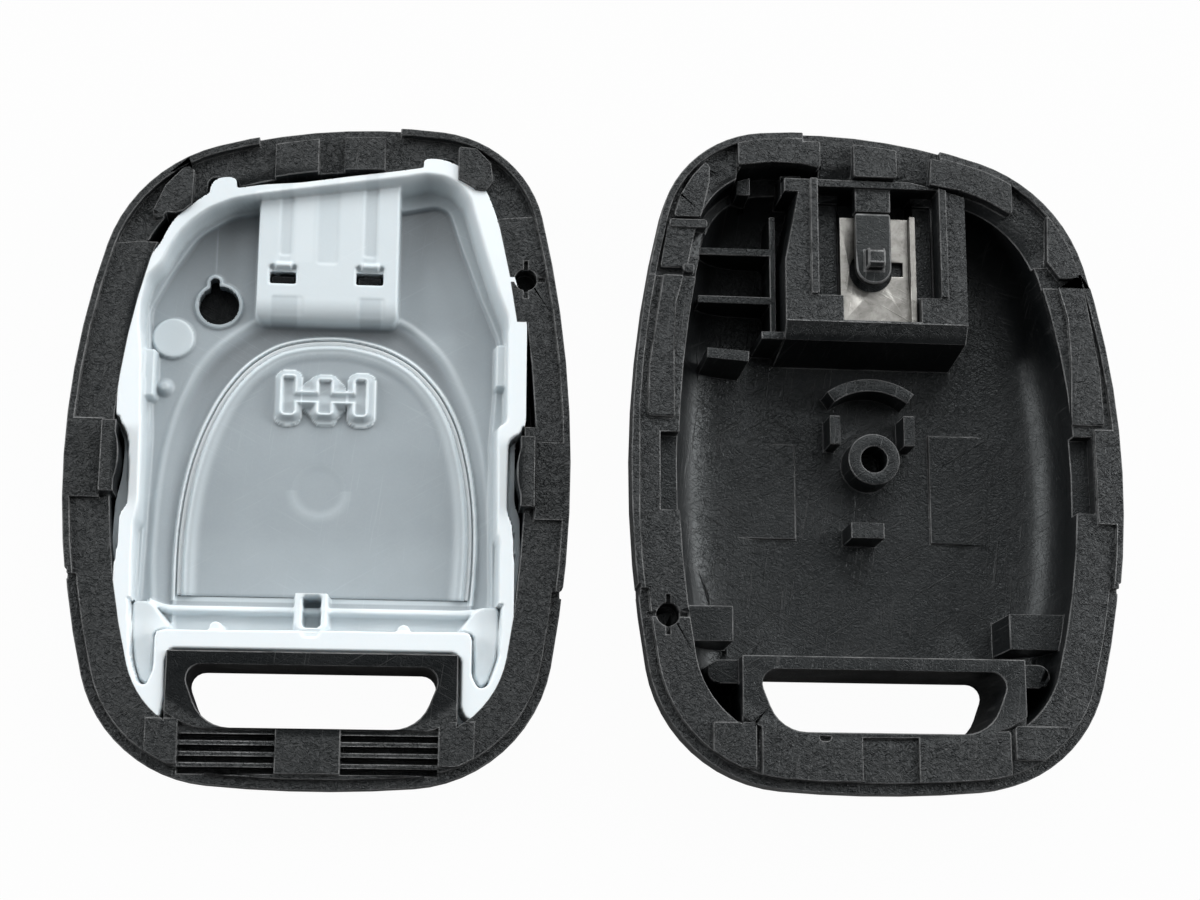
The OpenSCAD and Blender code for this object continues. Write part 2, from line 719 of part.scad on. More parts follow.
pusher_share = [0.001, 0.175];
pusher_bar_share = 0.255;
module pusher() {
    at = place(pusher_share);
    bar = pusher_w * pusher_bar_share;
    translate(at) {
        for (side = [-1, 1]) translate([side * (pusher_w - bar) / 2, 0]) difference() {
            round_box([-bar / 2, -pusher_l / 2], [bar / 2, pusher_l / 2], bar / 3);
            round_box([pusher_rib - bar / 2, pusher_rib - pusher_l / 2],
                [bar / 2 - pusher_rib, pusher_l / 2 - pusher_rib], bar / 6);
        }
        difference() {
            union() {
                round_box([-bar / 2, -pusher_l / 2], [bar / 2, pusher_l / 2], bar / 3);
                square([pusher_w - 2 * bar + pusher_rib, 3 * pusher_rib], center = true);
            }
            round_box([pusher_rib - bar / 2, pusher_rib - pusher_l / 2],
                [bar / 2 - pusher_rib, pusher_l / 2 - pusher_rib], bar / 6);
            square([pusher_w - 2 * bar - pusher_rib, pusher_rib], center = true);
        }
    }
}

/* Rear half */

rear_pad_shares = [
    [[-0.56, 0.885], [-0.415, 0.899], [-0.3, 0.897], [-0.217, 0.884], [-0.217, 1.05], [-0.56, 1.05]],
    [[-0.079, 0.861], [0.103, 0.861], [0.103, 0.977], [-0.079, 0.977]],
    [[0.237, 0.845], [0.37, 0.829], [0.475, 0.8], [0.586, 0.755], [0.586, 0.875], [0.54, 0.903],
        [0.42, 0.937], [0.25, 0.95]],
    [[-0.828, 0.713], [-0.715, 0.714], [-0.68, 0.826], [-0.678, 0.875], [-0.694, 0.893], [-0.75, 0.845],
        [-0.803, 0.78]],
    [[0.724, 0.61], [0.775, 0.558], [0.878, 0.561], [0.823, 0.672], [0.76, 0.752], [0.731, 0.764]]];
rear_tab_shares = [[[-0.848, 0.68], [-0.69, 0.68], [-0.69, 0.707], [-0.843, 0.707]],
    [[-0.79, 0.54], [-0.744, 0.54], [-0.744, 0.566], [-0.79, 0.566]]];
rear_room_share = [-0.74, 0.715, -0.28, 1];
rear_room2_share = [-0.56, 0.715, -0.217, 0.95];
rear_segment_shares = [[[-0.884, 0.554], [-0.772, 0.556], [-0.733, 0.69], [-0.852, 0.69]]];
rear_rail_shares = [
    [[-0.934, 0.094], [-0.826, 0.092], [-0.827, 0.3], [-0.82, 0.44], [-0.782, 0.545], [-0.868, 0.546],
        [-0.93, 0.245]],
    [[0.795, 0.1], [0.934, 0.1], [0.926, 0.27], [0.872, 0.543], [0.762, 0.543], [0.8, 0.43], [0.806, 0.3]],
    [[-0.49, -0.966], [-0.093, -0.966], [-0.093, -0.802], [-0.219, -0.802], [-0.219, -0.851],
        [-0.262, -0.851], [-0.262, -0.802], [-0.49, -0.802]],
    [[0.128, -0.978], [0.497, -0.978], [0.497, -0.815], [0.128, -0.815]],
    [[-0.68, -0.93], [-0.51, -0.93], [-0.51, -0.8], [-0.68, -0.8]],
    [[0.515, -0.9], [0.742, -0.9], [0.742, -0.8], [0.515, -0.8]]];
rear_side_pad_shares = [[-1.1, -0.22, -0.965, 0.53], [0.89, -0.2, 1.1, 0.09]];
rear_socket_share = [-0.853, -0.492];
segment_drop_share = 0.25;
slope_low_share = 0.6;

module rear_rim_cuts() {
    low = rear_h - band_drop_top;
    translate([0, 0, low]) linear_extrude(band_drop_top + over) difference() {
        intersection() {
            mirror([1, 0]) ring(lip_w, rear_band_w + over);
            above(rear_seam_shares);
        }
        pads(rear_pad_shares);
        pads(rear_tab_shares);
        pads(rear_segment_shares);
    }
    translate([0, 0, rear_h - segment_drop_share * band_drop_top]) linear_extrude(over) difference() {
        pads(rear_segment_shares);
        pads(rear_tab_shares);
    }
    translate([0, 0, rear_h - lip_drop]) linear_extrude(over) intersection() {
        mirror([1, 0]) ring(-over, lip_w);
        above(rear_seam_shares);
    }
    difference() {
        mirror([1, 0, 0]) loft([[rear_band_w, 0, low - band_drop_top], [rear_band_w - slope_w, 0, low],
            [rear_band_w - slope_w, 0, rear_h + over]]);
        linear_extrude(rear_h + 2 * over) {
            below([slope_low_share, slope_low_share]);
            pads(rear_pad_shares);
            pads(rear_segment_shares);
        }
    }
    translate([0, 0, rear_h - band_drop_side]) linear_extrude(band_drop_side + over) difference() {
        intersection() {
            mirror([1, 0]) ring(lip_w, rear_band_w + over);
            below(rear_seam_shares);
        }
        for (s = rear_side_pad_shares) zone(s);
        pads(rear_rail_shares);
    }
}

module rear_cover() color("#292b2e") translate([rear_x, 0, 0]) {
    difference() {
        union() {
            difference() {
                mirror([1, 0, 0]) dome(rear_h, rear_dome_shares);
                difference() {
                    mirror([1, 0, 0]) bowl(0);
                    translate([0, 0, -over]) linear_extrude(2 * rear_h) surround(0);
                }
                intersection() {
                    mirror([1, 0, 0]) bowl(half_share);
                    translate([0, 0, rear_h / 2]) linear_extrude(rear_h) zone(rear_room_share);
                }
                translate([0, 0, rear_h / 2]) linear_extrude(rear_h) difference() {
                    intersection() {
                        mirror([1, 0]) polygon(outline(rear_band_w - slope_w));
                        zone(rear_room2_share);
                    }
                    pads(rear_pad_shares);
                }
                rear_rim_cuts();
                mirror([1, 0, 0]) blade_gap(rear_h);
                mirror([1, 0, 0]) lower_step(rear_h);
                mirror([1, 0, 0]) edge_notches(rear_h);
                mirror([1, 0, 0]) ring_slot(rear_h);
            }
            translate([0, 0, rear_h - 2 * band_drop_top]) linear_extrude(2 * band_drop_top)
                pads(rear_tab_shares);
            intersection() {
                mirror([1, 0, 0]) bowl(half_share);
                union() {
                    holder();
                    tray_ribs();
                }
            }
        }
        holder_cuts();
        socket_cut(place(rear_socket_share), rear_h);
        for (side = [0, 1]) catch_pocket(side);
        boss_bore();
    }
}

// Pocket in the rear rim for a catch key of the front half
module catch_pocket(side) {
    at = place(catch_shares[side]);
    room = catch_w / 2 + catch_w / 4 + catch_gap;
    translate([-at[0] - room, at[1] - catch_l / 2 - catch_gap, rear_h - pocket_depth])
        cube([2 * room, catch_l + 2 * catch_gap, pocket_depth + over]);
}

/* Blade seat */

holder_top = rear_h - holder_drop;
channel_z = holder_top - channel_depth;
plate_z = channel_z;
tongue_z = plate_z + plate_t + tongue_lift;
holder_x_share = 0.012;
holder_foot_share = 0.355;
channel_x_share = 0.025;
plate_side_share = 0.02; // of the channel's width, from its middle
plate_foot_share = 0.122; // of the holder's length, from its front
latch_side_share = 0.09; // of the plate's width, from its middle
latch_root_share = 0.8086; // of the holder's length, from its front
pocket_shares = [[-0.485, 0.316, -0.295, 0.9], [0.33, 0.316, 0.49, 0.9]];
side_wall_share = [-0.46, 0.355, -0.36, 0.378];
taper_shares = [0.479, 0.915];

holder_x = holder_x_share * half_w;
holder_foot = holder_foot_share * half_l;
channel_x = channel_x_share * half_w;
plate_x = channel_x + plate_side_share * channel_w;
plate_low = holder_foot + plate_foot_share * holder_l;
latch_at = [plate_x - latch_side_share * plate_w, plate_low + plate_l / 2];
latch_root = holder_foot + latch_root_share * holder_l;

// The block runs from its front wall, which leans back and has a bevelled top edge, into
// the rim. Its profile is drawn seen from the side.
module holder() {
    back = holder_foot + holder_l;
    profile = [[holder_foot - holder_lean, rear_floor / 2], [holder_foot, holder_top - holder_bevel],
        [holder_foot + bar_step, holder_top], [back, holder_top], [back, rear_floor / 2]];
    left = holder_x - holder_w / 2;
    taper = [for (s = taper_shares) holder_foot + s * holder_l];
    difference() {
        translate([left, 0, 0]) rotate([90, 0, 90]) linear_extrude(holder_w) polygon(profile);
        linear_extrude(rear_h) polygon([[left, taper[0]], [left + holder_taper, taper[1]],
            [left - over, taper[1]], [left - over, taper[0]]]);
    }
    for (side = [-1, 1]) {
        x = channel_x + side * (channel_w + ridge_w) / 2;
        translate([x - ridge_w / 2, holder_foot + bar_l, rear_floor])
            cube([ridge_w, holder_l - bar_l, holder_top + ridge_h - rear_floor]);
    }
    low = place([side_wall_share[0], side_wall_share[1]]);
    high = place([side_wall_share[2], side_wall_share[3]]);
    translate([low[0], low[1], rear_floor])
        cube([high[0] - low[0], high[1] - low[1], holder_top - holder_bevel - rear_floor]);
}

module holder_cuts() {
    difference() {
        translate([channel_x - channel_w / 2, holder_foot + bar_l, channel_z])
            cube([channel_w, holder_l - bar_l - ridge_w, channel_depth + 2 * ridge_h]);
        translate([latch_at[0] - tongue_w / 2, latch_root, channel_z - over])
            cube([tongue_w, holder_l, tongue_z + tongue_t - channel_z + over]);
    }
    translate([plate_x - plate_w / 2 - tongue_gap, plate_low - tongue_gap, plate_z])
        cube([plate_w + 2 * tongue_gap, holder_l / 2, channel_depth + 2 * ridge_h]);
    for (s = pocket_shares) {
        x = channel_x + s[0] * channel_w;
        y = holder_foot + s[1] * holder_l;
        translate([x, y, channel_z - pocket_drop])
            cube([(s[2] - s[0]) * channel_w, (s[3] - s[1]) * holder_l, pocket_drop + channel_depth + over]);
    }
    translate([plate_x - plate_w / 2, plate_low + plate_l, channel_z - under_drop])
        cube([plate_w, holder_foot + holder_l - ridge_w - plate_low - plate_l, under_drop + tongue_lift]);
}

/* Tray of the rear half */

half_share = 0.5;
boss_share = [0.026, 0.016];
arc_share = [0.02, 0.04];
arc_half_angle = 36;
stop_shares = [[-0.154, 0.061, -0.111, 0.152], [0.155, 0.06, 0.2, 0.156]];
low_stop_share = [-0.083, -0.232, 0.055, -0.184];
floor_pad_shares = [[-0.735, -0.216, -0.279, 0.079], [0.288, -0.22, 0.75, 0.119]];
cross_rib_shares = [[-0.71, 0.632, -0.392, 0.655], [-0.71, 0.48, -0.392, 0.503]];
long_rib_share = [-0.41, 0.39, -0.385, 0.76];
wall_tab_shares = [[-0.555, 0.813, -0.497, 0.9], [-0.369, 0.816, -0.282, 0.9]];
clip_shares = [[-0.78, -0.56, -0.585, -0.455], [0.53, -0.569, 0.78, -0.463]];
slant_share = [-0.602, 0.298];
slant_angle = -4;
side_peg_share = [0.64, -0.648];

module tray_ribs() {
    at = place(boss_share);
    cylinder_at(at, boss_r, rear_floor + boss_h);
    up(stop_h) {
        arc_rib2d();
        for (s = stop_shares) zone(s);
    }
    up(low_stop_h) zone(low_stop_share);
    up(floor_pad_h) for (s = floor_pad_shares) zone(s);
    up(thin_rib_h) {
        for (s = cross_rib_shares) zone(s);
        zone(long_rib_share);
    }
    up(wall_tab_h) for (s = wall_tab_shares) zone(s);
    up(clip_h) for (s = clip_shares) zone(s);
    up(slant_h) translate(place(slant_share)) rotate(slant_angle) square([slant_w, slant_t], center = true);
    up(clip_h) for (side = [-1, 1]) side_peg2d(side);
}

// An upright form from below the tray's floor to a height above it
module up(h) {
    linear_extrude(rear_floor + h) children();
}

module cylinder_at(at, r, h) {
    translate([at[0], at[1], 0]) cylinder(r = r, h = h, $fn = fine);
}

module arc_rib2d() {
    at = place(arc_share);
    steps = flank_angle_steps;
    low = right_angle - arc_half_angle;
    high = right_angle + arc_half_angle;
    outer = [for (k = [0:steps]) at + arc_r * way(low + (high - low) * k / steps)];
    inner = [for (k = [0:steps]) at + (arc_r - arc_w) * way(high - (high - low) * k / steps)];
    polygon(concat(outer, inner));
}

module side_peg2d(side) {
    at = [side * side_peg_share[0] * half_w, side_peg_share[1] * half_l];
    translate(at) circle(r = side_peg_r, $fn = fine);
    translate(at - [side > 0 ? 2 * side_peg_r : 0, side_peg_r]) square([2 * side_peg_r, 2 * side_peg_r]);
}

module boss_bore() {
    at = place(boss_share);
    translate([at[0], at[1], rear_floor + boss_h - bore_depth])
        cylinder(r = bore_r, h = bore_depth + over, $fn = fine);
}

/* Blade plate and latch */

plate_cut_shares = [0.2, 0.46, 0.59];

// A bent steel plate: flat under the tongue, with its right edge turned up and a bite in it
module blade_plate() color("#b9bcc0") translate([rear_x + plate_x, 0, 0]) {
    s = plate_cut_shares;
    difference() {
        translate([-plate_w / 2, plate_low, plate_z]) cube([plate_w, plate_l, plate_t]);
        translate([latch_at[0] - plate_x, latch_at[1], plate_z - over])
            cylinder(r = plate_hole_r, h = plate_t + 2 * over, $fn = fine);
        translate([plate_w / 2 - 2 * plate_t - s[0] * plate_w, plate_low + s[1] * plate_l, plate_z - over])
            cube([s[0] * plate_w, (s[2] - s[1]) * plate_l, plate_t + 2 * over]);
    }
    translate([plate_w / 2 - plate_t, plate_low, plate_z]) cube([plate_t, plate_l, plate_lip + plate_t]);
}

module blade_latch() color("#2f3134") translate([rear_x + latch_at[0], 0, 0]) {
    top = tongue_z + tongue_t + peg_h;
    half = peg_l / 2;
    translate([0, 0, tongue_z]) linear_extrude(tongue_t) {
        translate([0, latch_at[1]]) circle(r = tongue_w / 2, $fn = fine);
        translate([-tongue_w / 2, latch_at[1]]) square([tongue_w, latch_root - latch_at[1] - tongue_gap]);
    }
    translate([-peg_w / 2, latch_at[1] + peg_shift, 0]) rotate([90, 0, 90]) linear_extrude(peg_w)
        polygon([[-half, tongue_z], [half, tongue_z], [half, top - peg_slope], [half - peg_slope, top],
            [peg_slope - half, top], [-half, top - peg_slope]]);
}

front_cover();
thumb_key();
seal();
seal_key_field();
rear_cover();
blade_plate();
blade_latch();
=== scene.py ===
"""Opened two-part cover of a one-key remote fob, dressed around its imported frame."""
import math
import bmesh
import bpy
import numpy as np
from mathutils import Matrix, Vector


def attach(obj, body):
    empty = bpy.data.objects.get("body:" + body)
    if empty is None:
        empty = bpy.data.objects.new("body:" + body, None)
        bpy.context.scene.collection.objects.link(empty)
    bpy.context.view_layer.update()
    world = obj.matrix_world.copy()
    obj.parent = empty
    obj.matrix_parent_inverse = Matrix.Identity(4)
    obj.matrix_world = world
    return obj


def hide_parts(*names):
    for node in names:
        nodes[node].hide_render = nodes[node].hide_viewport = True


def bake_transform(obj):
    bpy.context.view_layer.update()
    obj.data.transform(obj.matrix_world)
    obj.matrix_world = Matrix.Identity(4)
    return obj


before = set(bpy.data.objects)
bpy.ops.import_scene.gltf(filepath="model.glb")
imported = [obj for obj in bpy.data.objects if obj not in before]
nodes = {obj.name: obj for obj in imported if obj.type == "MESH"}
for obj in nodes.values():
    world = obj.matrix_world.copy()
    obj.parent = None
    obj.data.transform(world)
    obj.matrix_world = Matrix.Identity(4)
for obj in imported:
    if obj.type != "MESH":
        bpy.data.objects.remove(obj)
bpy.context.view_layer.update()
mm = 0.001

# Table, soft boxes and camera. A white table in a pale room that is brighter at the back,
# with one large lamp behind the case and one at either side, seen from above with the long
# lens of a catalogue picture.
table_size = 4.0
table_grey = (0.4, 0.4, 0.4, 1)
table_seen_white = 0.97
room_low, room_high = 0.1, 0.8
bright_side = (0.1, 0.86, 0.5)
seen_by = ("Is Camera Ray", "Is Transmission Ray")


def wire(tree, kind, feeds=(), **settings):
    """One node of a material. Settings are its own properties, and feeds gives its inputs,
    by name or number, a value or the output of another node. Its outputs come back."""
    node = tree.nodes.new(kind)
    for name, value in settings.items():
        setattr(node, name, value)
    for name, value in dict(feeds).items():
        if isinstance(value, bpy.types.NodeSocket):
            tree.links.new(value, node.inputs[name])
        else:
            node.inputs[name].default_value = value
    return node.outputs


def sum_of(tree, how, *values):
    """Arithmetic on numbers or outputs, such as MULTIPLY, ADD, SUBTRACT or POWER."""
    return wire(tree, "ShaderNodeMath", dict(enumerate(values)), operation=how)[0]


def added(tree, base, value, share):
    """A base with a share of a value on top of it."""
    return sum_of(tree, "ADD", base, sum_of(tree, "MULTIPLY", value, share))


def seen_white(tree, plain, surface, share, link):
    """A surface or sky that the rays of seen_by see as white to a share."""
    path = wire(tree, "ShaderNodeLightPath")
    seen = 0.0
    for kind in seen_by:
        seen = sum_of(tree, "MAXIMUM", seen, path[kind])
    white = wire(tree, plain, {"Color": (1, 1, 1, 1), "Strength": 1.0})[0]
    factor = sum_of(tree, "MULTIPLY", seen, share)
    mixed = wire(tree, "ShaderNodeMixShader", {0: factor, 1: surface, 2: white})
    tree.links.new(mixed[0], link)


half = table_size / 2
table_mesh = bpy.data.meshes.new("table")
table_corners = [(-half, -half, 0), (half, -half, 0), (half, half, 0), (-half, half, 0)]
table_mesh.from_pydata(table_corners, [], [(0, 1, 2, 3)])
table = bpy.data.objects.new("table", table_mesh)
bpy.context.scene.collection.objects.link(table)
table_finish = bpy.data.materials.new("white table")
table_finish.use_nodes = True
tree = table_finish.node_tree
paint = wire(tree, "ShaderNodeBsdfDiffuse", {"Color": table_grey})[0]
seen_white(tree, "ShaderNodeEmission", paint, table_seen_white,
           tree.nodes["Material Output"].inputs["Surface"])
table_mesh.materials.append(table_finish)

room = bpy.data.worlds.new("white room")
bpy.context.scene.world = room
room.use_nodes = True
tree = room.node_tree
tree.nodes["Background"].inputs["Color"].default_value = (1, 1, 1, 1)
direction = wire(tree, "ShaderNodeTexCoord")["Generated"]
toward = wire(tree, "ShaderNodeVectorMath", {0: direction, 1: bright_side},
              operation="DOT_PRODUCT")["Value"]
sky = wire(tree, "ShaderNodeMapRange",
           {"Value": toward, "From Min": 0.1, "From Max": 1.0, "To Min": room_low, "To Max": room_high},
           interpolation_type="SMOOTHSTEP")[0]
tree.links.new(sky, tree.nodes["Background"].inputs["Strength"])
seen_white(tree, "ShaderNodeBackground", tree.nodes["Background"].outputs[0], 1.0,
           tree.nodes["World Output"].inputs["Surface"])


def soft_box(name, place, side, power):
    """A square lamp at a place, turned towards the middle of the table."""
    lamp = bpy.data.lights.new(name, "AREA")
    lamp.shape, lamp.size, lamp.energy = "SQUARE", side, power
    box = bpy.data.objects.new(name, lamp)
    bpy.context.scene.collection.objects.link(box)
    facing = (-Vector(place)).to_track_quat("-Z", "Y")
    box.matrix_world = Matrix.Translation(place) @ facing.to_matrix().to_4x4()


soft_box("back lamp", (0.10, 0.42, 0.36), 0.36, 1.9)
soft_box("right lamp", (0.50, 0.10, 0.24), 0.3, 2.6)
soft_box("left lamp", (-0.50, 0.12, 0.24), 0.3, 2.1)

picture_width = 1200
focal_pixels = 2200.0
tilt, turn, roll = math.radians(13.14), math.radians(5.51), math.radians(0.26)
camera_distance = 185.1 * mm
aim_point = Vector((0.058, 0.302, 6.0)) * mm
look = Vector((math.sin(turn) * math.cos(tilt), math.sin(tilt), -math.cos(tilt) * math.cos(turn)))
look.normalize()
right = look.cross(Vector((0, 1, 0))).normalized()
up = right.cross(look)
right, up = right * math.cos(roll) + up * math.sin(roll), up * math.cos(roll) - right * math.sin(roll)
camera = bpy.data.objects.new("camera", bpy.data.cameras.new("camera"))
camera.data.sensor_width = 36.0
camera.data.lens = camera.data.sensor_width * focal_pixels / picture_width
camera.data.clip_start = 0.01
camera.matrix_world = Matrix.Translation(aim_point - look * camera_distance) @ Matrix(
    (right, up, -look)).transposed().to_4x4()
bpy.context.scene.collection.objects.link(camera)
bpy.context.scene.camera = camera
bpy.context.scene.view_settings.view_transform = "Standard"

# Front and rear case halves, thumb key and latch tongue. Black ABS, injection moulded from
# a spark-eroded tool: a leathery grain, satin floors with flow marks and hairlines, and
# small radii along every edge that catch the light.
grain_size = 0.36 * mm
hairline_size = 0.16 * mm
grain_left = 0.25  # the share of the relief that satin and steep faces keep
rim_gloss = 0.36
seat_front, seat_top = (9 * mm, 9.5 * mm), (7.6 * mm, 8 * mm)
# the share of edge wear and painted highlight on the eased faces
edge_wear_and_glint = 0.75
edge_facets = 2
edge_angle = math.radians(32)
weld_reach = 0.002 * mm


def new_group(name, puts_in, puts_out):
    """An empty shader group with named number sockets."""
    group = bpy.data.node_groups.new(name, "ShaderNodeTree")
    kind = "NodeSocketFloat"
    for name_in, value in puts_in.items():
        socket = group.interface.new_socket(name_in, in_out="INPUT", socket_type=kind)
        socket.default_value = value
    for name_out in puts_out:
        group.interface.new_socket(name_out, in_out="OUTPUT", socket_type=kind)
    asked = group.nodes.new("NodeGroupInput").outputs
    given = group.nodes.new("NodeGroupOutput").inputs
    return group, asked, given


def noise(tree, size, detail=3.0, rough=0.55, twist=0.0, stretch=(1, 1, 1), turn=0.0):
    """Cloudy noise whose lumps have a size in metres, drawn out and turned if wanted."""
    place = wire(tree, "ShaderNodeTexCoord")["Object"]
    place = wire(tree, "ShaderNodeMapping", {"Vector": place, "Rotation": (0, 0, turn)})[0]
    place = wire(tree, "ShaderNodeMapping", {"Vector": place, "Scale": [s / size for s in stretch]})[0]
    return wire(tree, "ShaderNodeTexNoise",
                {"Vector": place, "Scale": 1.0, "Detail": detail, "Roughness": rough,
                 "Distortion": twist})["Fac"]


def band(tree, value, low, high):
    """A value between two marks, drawn out to run from 0 to 1."""
    return wire(tree, "ShaderNodeMapRange", {"Value": value, "From Min": low, "From Max": high},
                interpolation_type="SMOOTHSTEP")[0]


# The grain is lumps with creases along the level lines of a swirled noise.
grain_group, asked, given = new_group("leathery grain", {"Amount": 1.0}, ["Height"])
lumps = noise(grain_group, grain_size, 2.0, 0.5, 1.2)
swirl = noise(grain_group, 2.2 * grain_size, 1.5, 0.5, 1.8)
crease = sum_of(grain_group, "ABSOLUTE", sum_of(grain_group, "SUBTRACT", swirl, 0.5))
crease = band(grain_group, crease, 0.0, 0.04)
leathery = added(grain_group, sum_of(grain_group, "MULTIPLY", lumps, 0.8), crease, 0.6)
grain_group.links.new(sum_of(grain_group, "MULTIPLY", leathery, asked["Amount"]), given["Height"])

# Hairlines are long thin streaks in three directions.
hair_group, asked, given = new_group("hairlines", {"Amount": 1.0}, ["Mask"])
streaks = 0.0
for turn_by, coarser in ((0.5, 1.0), (1.7, 1.2), (2.6, 1.4)):
    streak = noise(hair_group, hairline_size * coarser, 2.0, 0.5, 0.0, (0.03, 1, 0.03), turn_by)
    patch = band(hair_group, noise(hair_group, 7 * mm, 1.0, 0.5, 0.0, (1, 1, 1), turn_by), 0.42, 0.62)
    streak = sum_of(hair_group, "MULTIPLY", band(hair_group, streak, 0.62, 0.7), patch)
    streaks = sum_of(hair_group, "MAXIMUM", streaks, streak)
hair_group.links.new(sum_of(hair_group, "MULTIPLY", streaks, asked["Amount"]), given["Mask"])

# Edge wear and painted edge highlights lie on the eased faces of a part where no wall stands close by,
# broken up by noise.
edge_wear_and_glint_group, asked, given = new_group("edge wear and painted highlights", {"Amount": 1.0}, ["Mask"])
open_side = wire(edge_wear_and_glint_group, "ShaderNodeAmbientOcclusion", {"Distance": 0.35 * mm}, samples=6)["AO"]
rub_and_glint = band(edge_wear_and_glint_group, noise(edge_wear_and_glint_group, 2.2 * mm, 3.0, 0.6), 0.3, 0.62)
rub_and_glint = added(edge_wear_and_glint_group, 0.35, rub_and_glint, 0.65)
rub_and_glint = sum_of(edge_wear_and_glint_group, "MULTIPLY", rub_and_glint, band(edge_wear_and_glint_group, open_side, 0.72, 0.93))
edge_wear_and_glint_group.links.new(sum_of(edge_wear_and_glint_group, "MULTIPLY", rub_and_glint, asked["Amount"]), given["Mask"])


def placed(tree, group, **values):
    """A shared effect placed in a material with its own values."""
    node = tree.nodes.new("ShaderNodeGroup")
    node.node_tree = group
    for name, value in values.items():
        node.inputs[name].default_value = value
    return node.outputs


def black_plastic(name, colour, rim_from, rim_to, grain_depth, gloss, hollow, satin_gloss, wear_and_glint=0.0):
    """Moulded black plastic, leathery on the rim above a height and satin elsewhere, with a
    painted sheen on the raised crests of the rim's grain, and with edge wear and a painted
    highlight where it is given to eased faces. The hollow of a half, given by its middle and
    half widths, stays satin where |x/a|^3 + |y/b|^3 is below 1, but for the blade seat."""
    finish = bpy.data.materials.new(name)
    finish.use_nodes = True
    tree = finish.node_tree
    shell = tree.nodes["Principled BSDF"]
    shell.inputs["Specular Tint"].default_value = (0.93, 0.985, 1.0, 1)
    place = wire(tree, "ShaderNodeSeparateXYZ", {0: wire(tree, "ShaderNodeTexCoord")["Object"]})
    on_rim = band(tree, place["Z"], rim_from, rim_to)
    if hollow:
        middle, half_wide, half_long = hollow
        from_middle = sum_of(tree, "SUBTRACT", place["X"], middle)
        across = sum_of(tree, "ABSOLUTE", sum_of(tree, "DIVIDE", from_middle, half_wide))
        along = sum_of(tree, "ABSOLUTE", sum_of(tree, "DIVIDE", place["Y"], half_long))
        round_out = sum_of(tree, "ADD", sum_of(tree, "POWER", across, 3.0),
                           sum_of(tree, "POWER", along, 3.0))
        on_seat = sum_of(tree, "MULTIPLY", band(tree, place["Y"], *seat_front),
                         band(tree, place["Z"], *seat_top))
        on_rim = sum_of(tree, "MULTIPLY", on_rim, band(tree, round_out, 0.9, 1.0))
        on_rim = sum_of(tree, "MAXIMUM", on_rim, on_seat)
    specular = added(tree, satin_gloss, on_rim, rim_gloss - satin_gloss)
    tree.links.new(specular, shell.inputs["Specular IOR Level"])
    leather = placed(tree, grain_group)["Height"]
    satin = noise(tree, 0.22 * mm, 3.0, 0.6)
    lines = placed(tree, hair_group)["Mask"]
    flow = noise(tree, 5 * mm, 3.0, 0.6, 1.5, (1, 0.35, 1), 0.6)
    # edges: edge wear and a painted highlight on the eased faces, which lighten their colour and smooth
    # their roughness below
    edges = placed(tree, edge_wear_and_glint_group, Amount=wear_and_glint)["Mask"] if wear_and_glint else 0.0
    # the relief, leathery on the rim and weaker on steep faces
    facing = wire(tree, "ShaderNodeSeparateXYZ", {0: wire(tree, "ShaderNodeTexCoord")["Normal"]})["Z"]
    flat = band(tree, sum_of(tree, "ABSOLUTE", facing), 0.8, 0.97)
    relief = sum_of(tree, "MULTIPLY", leather, added(tree, grain_left, on_rim, 1 - grain_left))
    relief = added(tree, relief, satin, 0.3)
    relief = added(tree, relief, lines, 0.35)
    relief = sum_of(tree, "MULTIPLY", relief, added(tree, grain_left, flat, 1 - grain_left))
    bump = wire(tree, "ShaderNodeBump", {"Strength": 1.0, "Distance": grain_depth, "Height": relief})[0]
    tree.links.new(bump, shell.inputs["Normal"])
    # the colour, with a painted highlight on the eased edges and a painted sheen on the ridges of the
    # rim's grain, and lighter along hairlines and flow marks
    light = tuple(c * 3.0 + 0.2 for c in colour)
    paler = added(tree, edges, lines, 0.1)
    paler = added(tree, paler, band(tree, flow, 0.35, 0.75), 0.02)
    # a painted sheen: the ridges of the rim's grain are made lighter
    ridge_sheen = sum_of(tree, "MULTIPLY", sum_of(tree, "SUBTRACT", leather, 0.84), 0.34)
    paler = added(tree, paler, ridge_sheen, on_rim)
    shade = wire(tree, "ShaderNodeMix", {"Factor": paler, "A": (*colour, 1), "B": (*light, 1)},
                 data_type="RGBA")["Result"]
    tree.links.new(shade, shell.inputs["Base Color"])
    # the roughness, broken by flow marks, more on the rim and less where the eased edges wear
    rough = added(tree, gloss - 0.06, band(tree, flow, 0.2, 0.8), 0.12)
    rough = added(tree, rough, on_rim, 0.08)
    rough = sum_of(tree, "SUBTRACT", rough, sum_of(tree, "MULTIPLY", edges, 0.12))
    tree.links.new(rough, shell.inputs["Roughness"])
    return finish


def eased(node, width):
    """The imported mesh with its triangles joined, its edges given a moulded radius of the
    last material, and its gentle curves shaded smooth."""
    node.data.shade_smooth()
    join = node.modifiers.new("join", "WELD")
    join.merge_threshold = weld_reach
    ease = node.modifiers.new("ease", "BEVEL")
    ease.width, ease.segments = width, edge_facets
    ease.material = len(node.data.materials) - 1
    ease.limit_method, ease.angle_limit = "ANGLE", edge_angle
    ease.use_clamp_overlap = False
    ease.miter_outer = "MITER_SHARP"
    shade = node.modifiers.new("shade", "WEIGHTED_NORMAL")
    shade.weight = 90


def dress(name, slot, width, *finishes):
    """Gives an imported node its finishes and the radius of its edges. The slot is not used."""
    node = nodes[name]
    node.data.materials.clear()
    for finish in finishes:
        node.data.materials.append(finish)
    node.data.polygons.foreach_set("material_index", [0] * len(node.data.polygons))
    eased(node, width)


